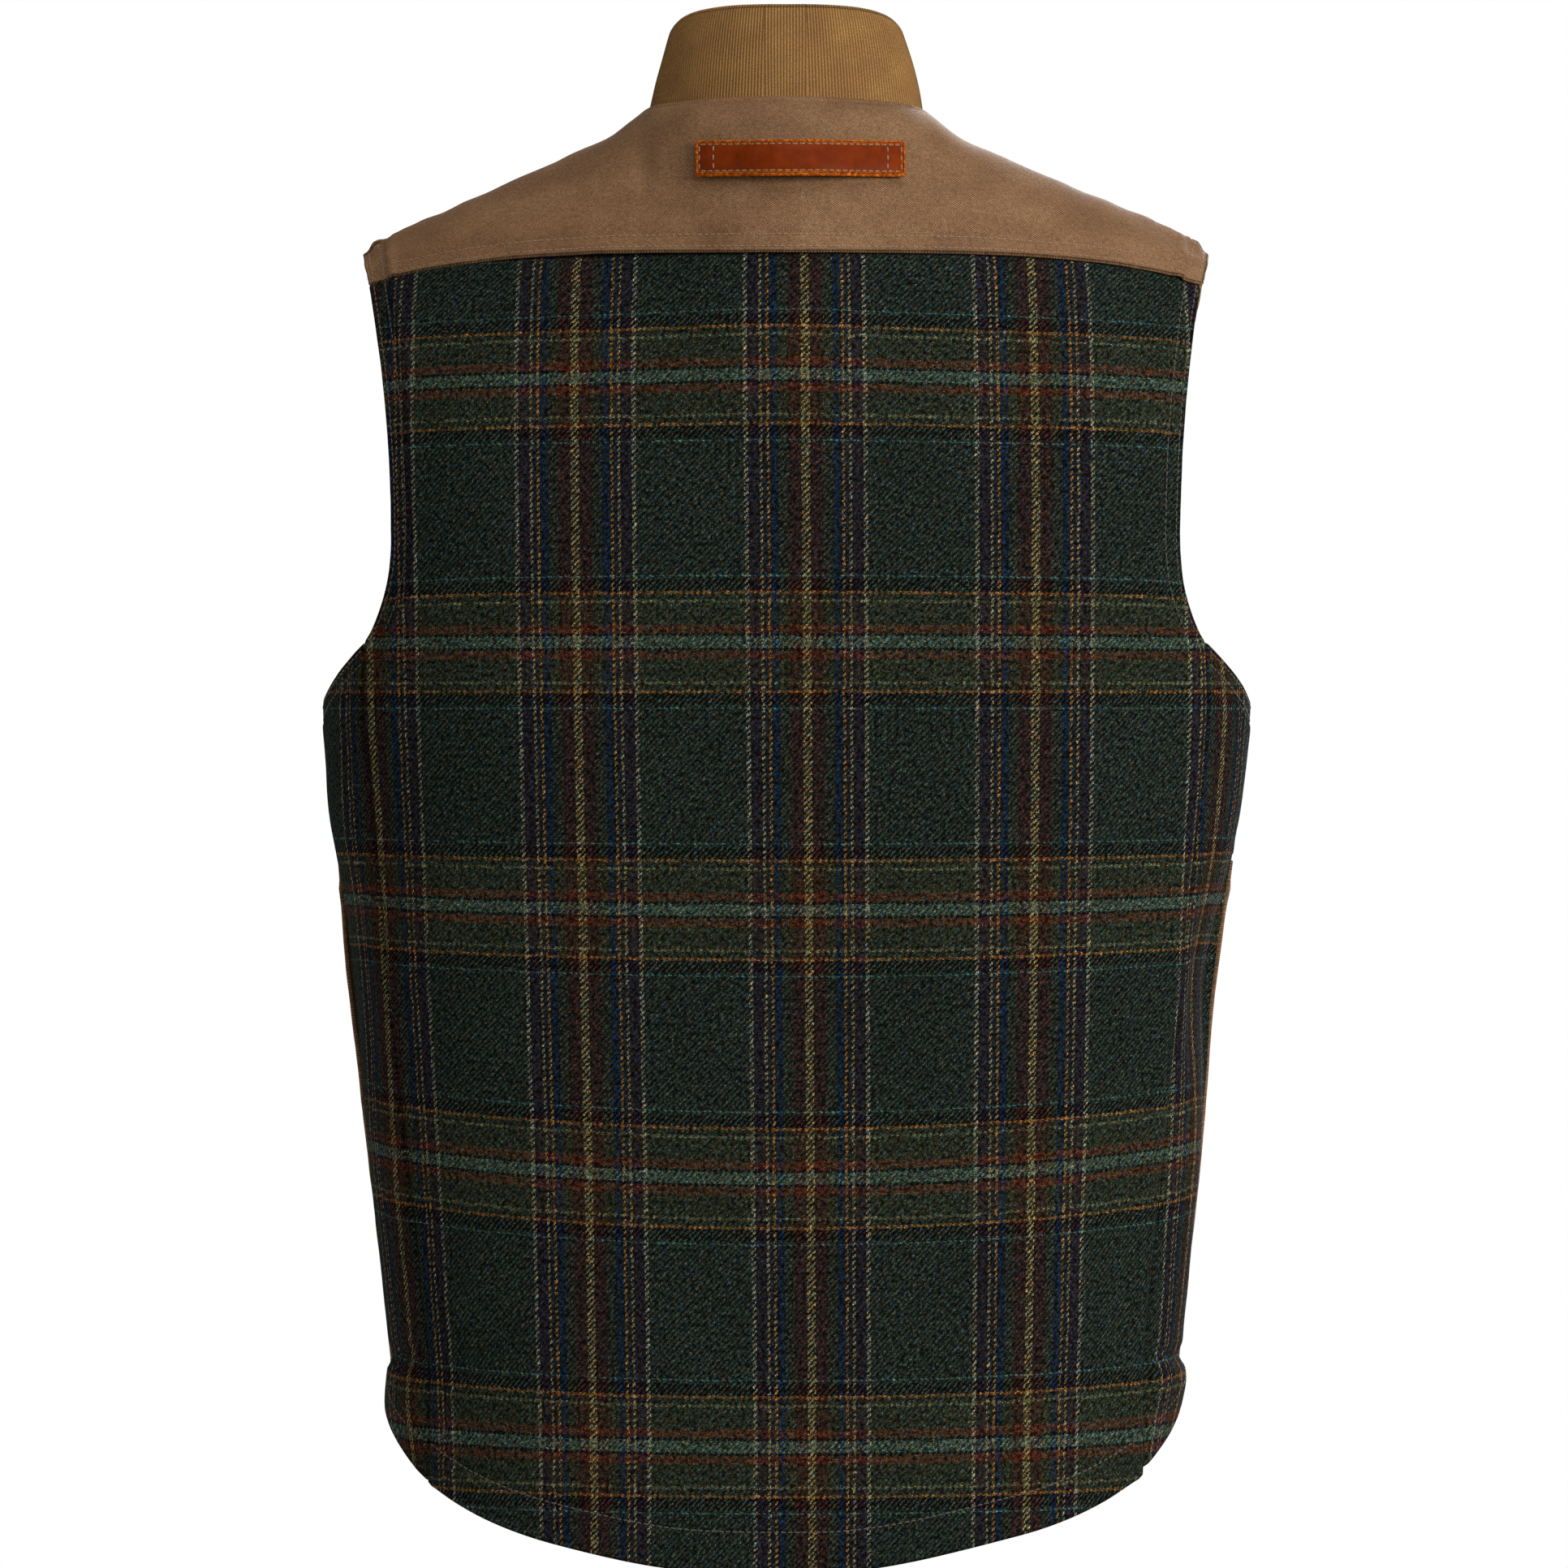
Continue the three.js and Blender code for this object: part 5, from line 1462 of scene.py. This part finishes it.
@dataclass(frozen=True)
class Pocket:
    """A bellows pocket of waxed canvas with its flap, snap caps and snap studs."""

    kind: str
    side: Side
    inner: float
    outer: float
    mouth: float
    height: float
    depth: float
    rise: float
    drop: float
    snaps: tuple[float, ...]
    gap: float = 0.6
    wall: float = 1.6
    room: float = 2.4
    flap_thickness: float = 2.5
    overhang: float = 3.0
    corner: float = 5.0
    clear: float = 0.05
    snap_rise: float = 14.0

    def build(self, finishes: Finishes) -> None:
        """Pouch, flap and snaps."""
        self._pouch(finishes)
        self._flap(finishes)
        for place, share in enumerate(self.snaps):
            mark = f"_{place + 1}" if len(self.snaps) > 1 else ""
            self._snap(mark, share, finishes)

    def _on_front(self, x: Array, h: Array, offset: Array) -> Array:
        """Points a distance off the front panel, along its normal."""
        grid = BODY.point(x, h, False)
        grid = grid + outward_normals(grid, (0.0, 0.0, 400.0)) * np.asarray(offset)[..., None]
        return grid * [self.side.value, 1.0, 1.0]

    def _wall_line(self, length: float, both: bool) -> tuple[Array, Array]:
        """Shares across and rises from 0 to 1 along a wall, round its corner and over the face."""
        turn = np.linspace(0.0, np.pi / 2.0, 9)
        near = self.corner * (1.0 - np.cos(turn)) / length
        up = 1.0 - self.corner / self.depth * (1.0 - np.sin(turn))
        walls = np.linspace(0.0, up[0], 6)[:-1]
        across = np.concatenate([np.zeros(5), near])
        high_part = np.concatenate([walls, up])
        face = np.linspace(near[-1], 1.0 - near[-1] if both else 1.0, 42)[1:]
        if not both:
            return np.concatenate([across, face]), np.concatenate([high_part, np.ones(41)])
        middle = face[:-1]
        shares = np.concatenate([across, middle, 1.0 - across[::-1]])
        return shares, np.concatenate([high_part, np.ones(len(middle)), high_part[::-1]])

    def _pouch(self, finishes: Finishes) -> None:
        """The pouch: walls stand off the front at its sides and bottom, and its mouth is open."""
        shares, rise_u = self._wall_line(self.outer - self.inner, True)
        climbs, rise_v = self._wall_line(self.height, False)
        share, climb = np.meshgrid(shares, climbs)
        x = mix(self.inner, self.outer, share)
        h = self.mouth - self.height * (1.0 - climb)
        puff = creased(x, h, 0.25, 0.1, 71) * rise_u[None, :] * rise_v[:, None]
        offset = self.gap + (self.depth + np.minimum(puff, 0.3)) * rise_u[None, :] * rise_v[:, None]
        grid = self._on_front(x, h, np.maximum(offset, self.gap + 0.2))
        name = f"{self.kind}_pocket_{self.side.tag}"
        ordinal = np.arange(len(shares)), np.arange(len(climbs))
        reach = Reach.of(grid)
        panel = Panel(name, ordinal[0], ordinal[1], grid, np.stack([reach.near, reach.low], -1),
                      np.zeros(grid.shape[:2]), self.wall, (0.0, 0.0, 400.0))
        normals = panel.normals
        outer = panel.grid
        points, quads, coords = closed_cloth(outer, outer - normals * self.wall, panel.uv)
        piece = make_object(name, points, quads, finishes.canvas, coords)
        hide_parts(name)
        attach(piece, f"{self.side.tag}_front")
        thread = Stitching(f"{name}_topstitch", finishes.tan_thread)
        last = len(shares) - 1
        thread.add(*panel.row_at(8.0, (13, last - 13), True))
        for far in (False, True):
            thread.add(*panel.column_at(self.depth + 3.0, (14, len(climbs) - 1.5), far))
        thread.add(*panel.row_at(self.depth + 3.0, (14, last - 14)))
        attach(thread.build("waxed_canvas"), f"{self.side.tag}_front")

    def _cover(self, v: Array) -> Array:
        """Offset of the flap's inside: it climbs over the pocket's mouth, then lies level."""
        knee = (self.rise - 1.0) / self.drop
        climb = 1.0 - (1.0 - np.clip(v / knee, 0.0, 1.0)) ** 1.7
        return self.gap + (self.depth + self.room) * climb

    def _flap(self, finishes: Finishes) -> None:
        """The flap: doubled canvas, stitched round three sides."""
        knee = (self.rise - 1.0) / self.drop
        us = spaced((0.0, 0.08, 9), (0.08, 0.92, 34), (0.92, 1.0, 9))
        vs = spaced((self.clear, knee, 18), (knee, 0.8, 16), (0.8, 1.0, 12))
        u, v = np.meshgrid(us, vs)
        low_x, high_x = self.inner - self.overhang, self.outer + self.overhang
        x = mix(low_x, high_x, u)
        round_off = 5.0 * (np.clip((np.abs(u - 0.5) * 2.0 - 0.86) / 0.14, 0.0, 1.0) ** 2.2)
        h = self.mouth + self.rise - (self.drop - round_off) * v
        soft = np.clip(creased(x, h, 0.2, 0.12, 81), -0.3, 0.4) * smooth(v, 0.1, 0.5)
        grid = self._on_front(x, h, self._cover(v) + self.flap_thickness + soft)
        name = f"{self.kind}_flap_{self.side.tag}"
        reach = Reach.of(grid)
        relief = -0.3 * bump(reach.high, 5.5, 1.2) - 0.3 * bump(reach.side, 5.5, 1.2)
        uv = np.stack([reach.near, -reach.low], -1)
        panel = Panel(name, us, vs, grid, uv, relief, self.flap_thickness - 0.3)
        piece = panel.build(finishes.canvas, [name], "waxed_canvas", [f"{self.kind}_pocket_{self.side.tag}"])
        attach(piece, name)
        thread = Stitching(f"{name}_topstitch", finishes.tan_thread)
        thread.add(*panel.row_at(5.5, (0.05, 0.95), True))
        for far in (False, True):
            thread.add(*panel.column_at(5.5, (0.1, 0.9), far))
        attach(thread.build("waxed_canvas"), name)

    def _snap(self, mark: str, share: float, finishes: Finishes) -> None:
        """A domed cap with a rolled rim on the flap, and a ringed stud on the pocket."""
        x, h = mix(self.inner, self.outer, share), self.mouth + self.rise - self.drop + self.snap_rise
        patch = BODY.point(*np.meshgrid([x, x + 1.0], [h, h + 1.0]), False)
        normal = unit(np.cross(patch[0, 1] - patch[0, 0], patch[1, 0] - patch[0, 0]))
        normal = normal * -np.sign(normal[1])
        cover = self.gap + self.depth + self.room + self.flap_thickness
        cap = [(0.0, 2.2), (2.5, 2.1), (4.6, 1.75), (5.7, 1.25), (6.0, 1.1), (6.3, 1.35), (6.8, 1.6),
               (7.25, 1.4), (7.5, 0.9), (7.4, 0.4), (7.0, 0.0), (0.0, 0.0)]
        stud = [(0.0, 0.9), (1.1, 0.9), (1.5, 1.5), (2.1, 1.65), (2.6, 1.4), (2.7, 0.6), (3.6, 0.45),
                (4.4, 0.4), (4.5, 0.1), (4.2, 0.0), (0.0, 0.0)]
        for part, profile, offset, body in (
            ("cap", cap, cover + 0.4, f"{self.kind}_flap_{self.side.tag}"),
            ("stud", stud, self.gap + self.depth + 0.3, f"{self.side.tag}_front"),
        ):
            name = f"{self.kind}_snap_{part}{mark}_{self.side.tag}"
            place = (patch[0, 0] + normal * offset) * [self.side.value, 1.0, 1.0]
            facing = normal * [self.side.value, 1.0, 1.0]
            points, quads = lathe(profile, place, facing)
            piece = make_object(name, points, quads, finishes.brass)
            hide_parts(name)
            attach(piece, body)


def lathe(
    profile: Sequence[tuple[float, float]], place: Array, axis: Array, count: int = 40
) -> tuple[Array, Array]:
    """A turned part: a profile of (radius, height) swept round an axis and closed at its ends."""
    line = np.array(profile)
    dense = np.linspace(0.0, len(line) - 1.0, (len(line) - 1) * 3 + 1)
    radius = np.maximum(np.interp(dense, np.arange(len(line)), line[:, 0]), 0.02)
    rise = np.interp(dense, np.arange(len(line)), line[:, 1])
    first = unit(np.cross(axis, [0.0, 0.0, 1.0]))
    second = np.cross(axis, first)
    turn = np.arange(count) * 2.0 * np.pi / count
    ring = np.cos(turn)[:, None] * first + np.sin(turn)[:, None] * second
    points = place + radius[:, None, None] * ring + rise[:, None, None] * axis
    k = np.arange(count)
    quads = np.concatenate([
        np.stack([r * count + k, r * count + (k + 1) % count, (r + 1) * count + (k + 1) % count,
                  (r + 1) * count + k], -1)
        for r in range(len(dense) - 1)
    ])
    points = points.reshape(-1, 3)
    return points, facing_out(points, quads)


@dataclass(frozen=True)
class Zip:
    """The zip: two woven tapes and two rows of separate cast teeth. The slider, its tab, the pin,
    the box and the stops are the CAD's own, in antique brass."""

    pitch: float = 2.2
    gap: float = 1.0
    tooth: float = 3.5
    thickness: float = 3.0
    depth: float = 3.2
    end: float = 6.0
    tape_reach: float = 15.0
    tape_narrow: float = 8.5
    tape_thickness: float = 0.8

    @property
    def length(self) -> float:
        """From the hem to just below the collar's edge."""
        top = BODY.collar_top - 51.0
        return (top - BODY.hem_drop) * math.hypot(1.0, BODY.zip_lean) - 4.0

    def place(self, x: Array, y: Array, z: Array) -> Array:
        """From the zip's frame, whose z runs up the teeth, to the vest: turned back by its lean."""
        turn = -math.atan(BODY.zip_lean)
        return np.stack([
            x + 0.0 * z,
            -BODY.front_hem_depth + y * math.cos(turn) - z * math.sin(turn),
            BODY.hem_drop + y * math.sin(turn) + z * math.cos(turn),
        ], -1)

    def build(self, finishes: Finishes) -> None:
        """Tapes and teeth, and brass for the metal parts that stay CAD."""
        for side in Side:
            self._tape(side, finishes)
            self._teeth(side, finishes)
        for part in ("slider", "pull_tab", "pin", "box", "top_stop_left", "top_stop_right"):
            piece = bpy.data.objects[f"zip_{part}"]
            for place in piece.material_slots:
                place.material = finishes.brass

    def _tape(self, side: Side, finishes: Finishes) -> None:
        """A strip from the teeth to behind the front, narrower beside the collar."""
        near = self.gap / 2.0 + self.tooth + 0.3
        neck = (BODY.shoulder - BODY.neck_front_drop - BODY.hem_drop) * math.hypot(1.0, BODY.zip_lean)
        zs = spaced((1.0, neck - 66.0, 90), (neck - 66.0, neck - 50.0, 10), (neck - 50.0, self.length, 24))
        u, z = np.meshgrid(np.linspace(0.0, 1.0, 9), zs)
        far = mix(self.tape_reach, self.tape_narrow, smooth(z, neck - 64.0, neck - 58.0))
        x = side.value * mix(near, far, u)
        grid = self.place(x, np.full(x.shape, self.depth - self.tape_thickness / 2.0), z)
        tape = Panel(f"zip_tape_{side.tag}", np.arange(9), zs, grid, np.stack([x, z], -1),
                     np.zeros(x.shape), self.tape_thickness, (0.0, 0.0, 400.0))
        rests_on = [f"lower_front_{side.tag}"]
        piece = tape.build(finishes.tape, [tape.name], "zip_tape", rests_on, Held.STRETCHED)
        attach(piece, f"{side.tag}_front")

    def _teeth(self, side: Side, finishes: Finishes) -> None:
        """One small cast tooth, wedge-nosed, copied up the tape at the pitch."""
        low, high = self.gap / 2.0, self.gap / 2.0 + self.tooth
        half, deep = 0.62, self.thickness / 2.0
        outline = np.array([
            (low, -0.3), (low + 0.9, -half), (high, -half), (high, half), (low + 0.9, half), (low, 0.3),
        ])
        shape = [
            np.stack([outline[:, 0], np.full(6, level), outline[:, 1] * shrink], -1)
            for level, shrink in ((-deep, 0.75), (-deep * 0.6, 1.0), (deep * 0.6, 1.0), (deep, 0.75))
        ]
        tooth = np.concatenate(shape)
        start = self.end + half + 0.1 + (0.0 if side is Side.LEFT else self.pitch / 2.0)
        at = np.arange(start, self.length - self.end - half - 0.1, self.pitch)
        x = side.value * np.broadcast_to(tooth[:, 0], (len(at), len(tooth)))
        y = self.depth + np.broadcast_to(tooth[:, 1], x.shape)
        points = self.place(x, y, at[:, None] + tooth[None, :, 2]).reshape(-1, 3)
        k = np.arange(6)
        walls = [np.stack([r * 6 + k, r * 6 + (k + 1) % 6, (r + 1) * 6 + (k + 1) % 6, (r + 1) * 6 + k], -1)
                 for r in range(3)]
        caps = np.array([(3, 2, 1, 0), (5, 4, 3, 0), (18, 19, 20, 21), (18, 21, 22, 23)])
        quads = np.concatenate([*walls, caps])
        copies = (quads[None] + (np.arange(len(at)) * len(tooth))[:, None, None]).reshape(-1, 4)
        piece = make_object(f"zip_teeth_{side.tag}", points, facing_out(points, copies), finishes.brass)
        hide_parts(f"zip_teeth_{side.tag}")
        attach(piece, f"{side.tag}_front")


# ---- the studio ------------------------------------------------------------------------------


@dataclass(frozen=True)
class Studio:
    """A pale floor, a white surround, a large soft key behind the vest's right shoulder, a weak
    fill on its left and one light for its front, seen level from behind through a long lens."""

    distance: float = 12.0
    view_width: float = 0.7585
    view_height: float = -0.3258
    aside: float = 0.0008
    floor_height: float = -1.0
    ambient: float = 0.34

    def build(self) -> None:
        """Camera, floor, surround and lights."""
        scene = bpy.context.scene
        camera = bpy.data.objects.new("camera", bpy.data.cameras.new("camera"))
        camera.data.sensor_width = 36.0
        camera.data.lens = 36.0 * self.distance / self.view_width
        camera.data.clip_end = 60.0
        camera.location = (self.aside, self.distance, self.view_height)
        camera.rotation_euler = (math.pi / 2.0, 0.0, math.pi)
        scene.collection.objects.link(camera)
        scene.camera = camera
        self._floor()
        self._surround()
        self._light("key", (-3.0, 2.6, 0.9), 1.6, 205.0)
        self._light("top", (-0.6, 1.2, 3.2), 1.6, 70.0)
        self._light("fill", (3.4, 1.2, 0.8), 1.6, 20.0)
        self._light("front", (-0.9, -3.4, 1.0), 1.6, 150.0)
        scene.view_settings.view_transform = "Standard"

    def _floor(self) -> None:
        """A plain square of pale, matt board."""
        half = 1.5
        corners = np.array([(-half, -half), (half, -half), (half, half), (-half, half)])
        mesh = bpy.data.meshes.new("floor")
        mesh.from_pydata([(x, y, self.floor_height) for x, y in corners], [], [(0, 1, 2, 3)])
        board = Recipe("pale_board")
        board.shader.inputs["Base Color"].default_value = linear("d8d6d2")
        board.shader.inputs["Roughness"].default_value = 0.9
        mesh.materials.append(board.material)
        floor = bpy.data.objects.new("floor", mesh)
        bpy.context.scene.collection.objects.link(floor)

    def _surround(self) -> None:
        """White all round: full strength where it is seen, weaker where it only lights."""
        world = bpy.data.worlds.new("white_surround")
        world.use_nodes = True
        seen = world.node_tree.nodes.new("ShaderNodeLightPath").outputs["Is Camera Ray"]
        level = world.node_tree.nodes.new("ShaderNodeMapRange")
        level.inputs["To Min"].default_value = self.ambient
        world.node_tree.links.new(seen, level.inputs["Value"])
        background = world.node_tree.nodes["Background"]
        background.inputs["Color"].default_value = (1.0, 1.0, 1.0, 1.0)
        world.node_tree.links.new(level.outputs[0], background.inputs["Strength"])
        bpy.context.scene.world = world

    def _light(self, name: str, place: Sequence[float], size: float, power: float) -> None:
        """A square soft light aimed at the middle of the vest."""
        light = bpy.data.lights.new(name, "AREA")
        light.size, light.energy = size, power
        lamp = bpy.data.objects.new(name, light)
        away = Vector(place) - Vector((0.0, 0.0, self.view_height))
        lamp.location = place
        lamp.rotation_euler = away.to_track_quat("Z", "Y").to_euler()
        bpy.context.scene.collection.objects.link(lamp)


def main() -> None:
    """Builds every piece, then the studio."""
    logging.basicConfig(level=logging.INFO, format="%(message)s")
    finishes = Finishes()
    BackPanel().build(finishes)
    Yoke().build_back(finishes)
    for side in Side:
        SidePanel(side).build(finishes)
        Front(side).build(finishes)
        for pocket in (
            Pocket("chest", side, inner=32.0, outer=132.0, mouth=BODY.shoulder - 191.5, height=108.0,
                   depth=15.0, rise=14.0, drop=44.0, snaps=(0.5,)),
            Pocket("lower", side, inner=32.0, outer=150.0, mouth=250.0, height=154.0, depth=20.0,
                   rise=16.0, drop=58.0, snaps=(0.18, 0.82)),
        ):
            pocket.build(finishes)
    Collar().build(finishes)
    NetLoop().build(finishes)
    Zip().build(finishes)
    Studio().build()


if __name__ == "__main__":
    main()
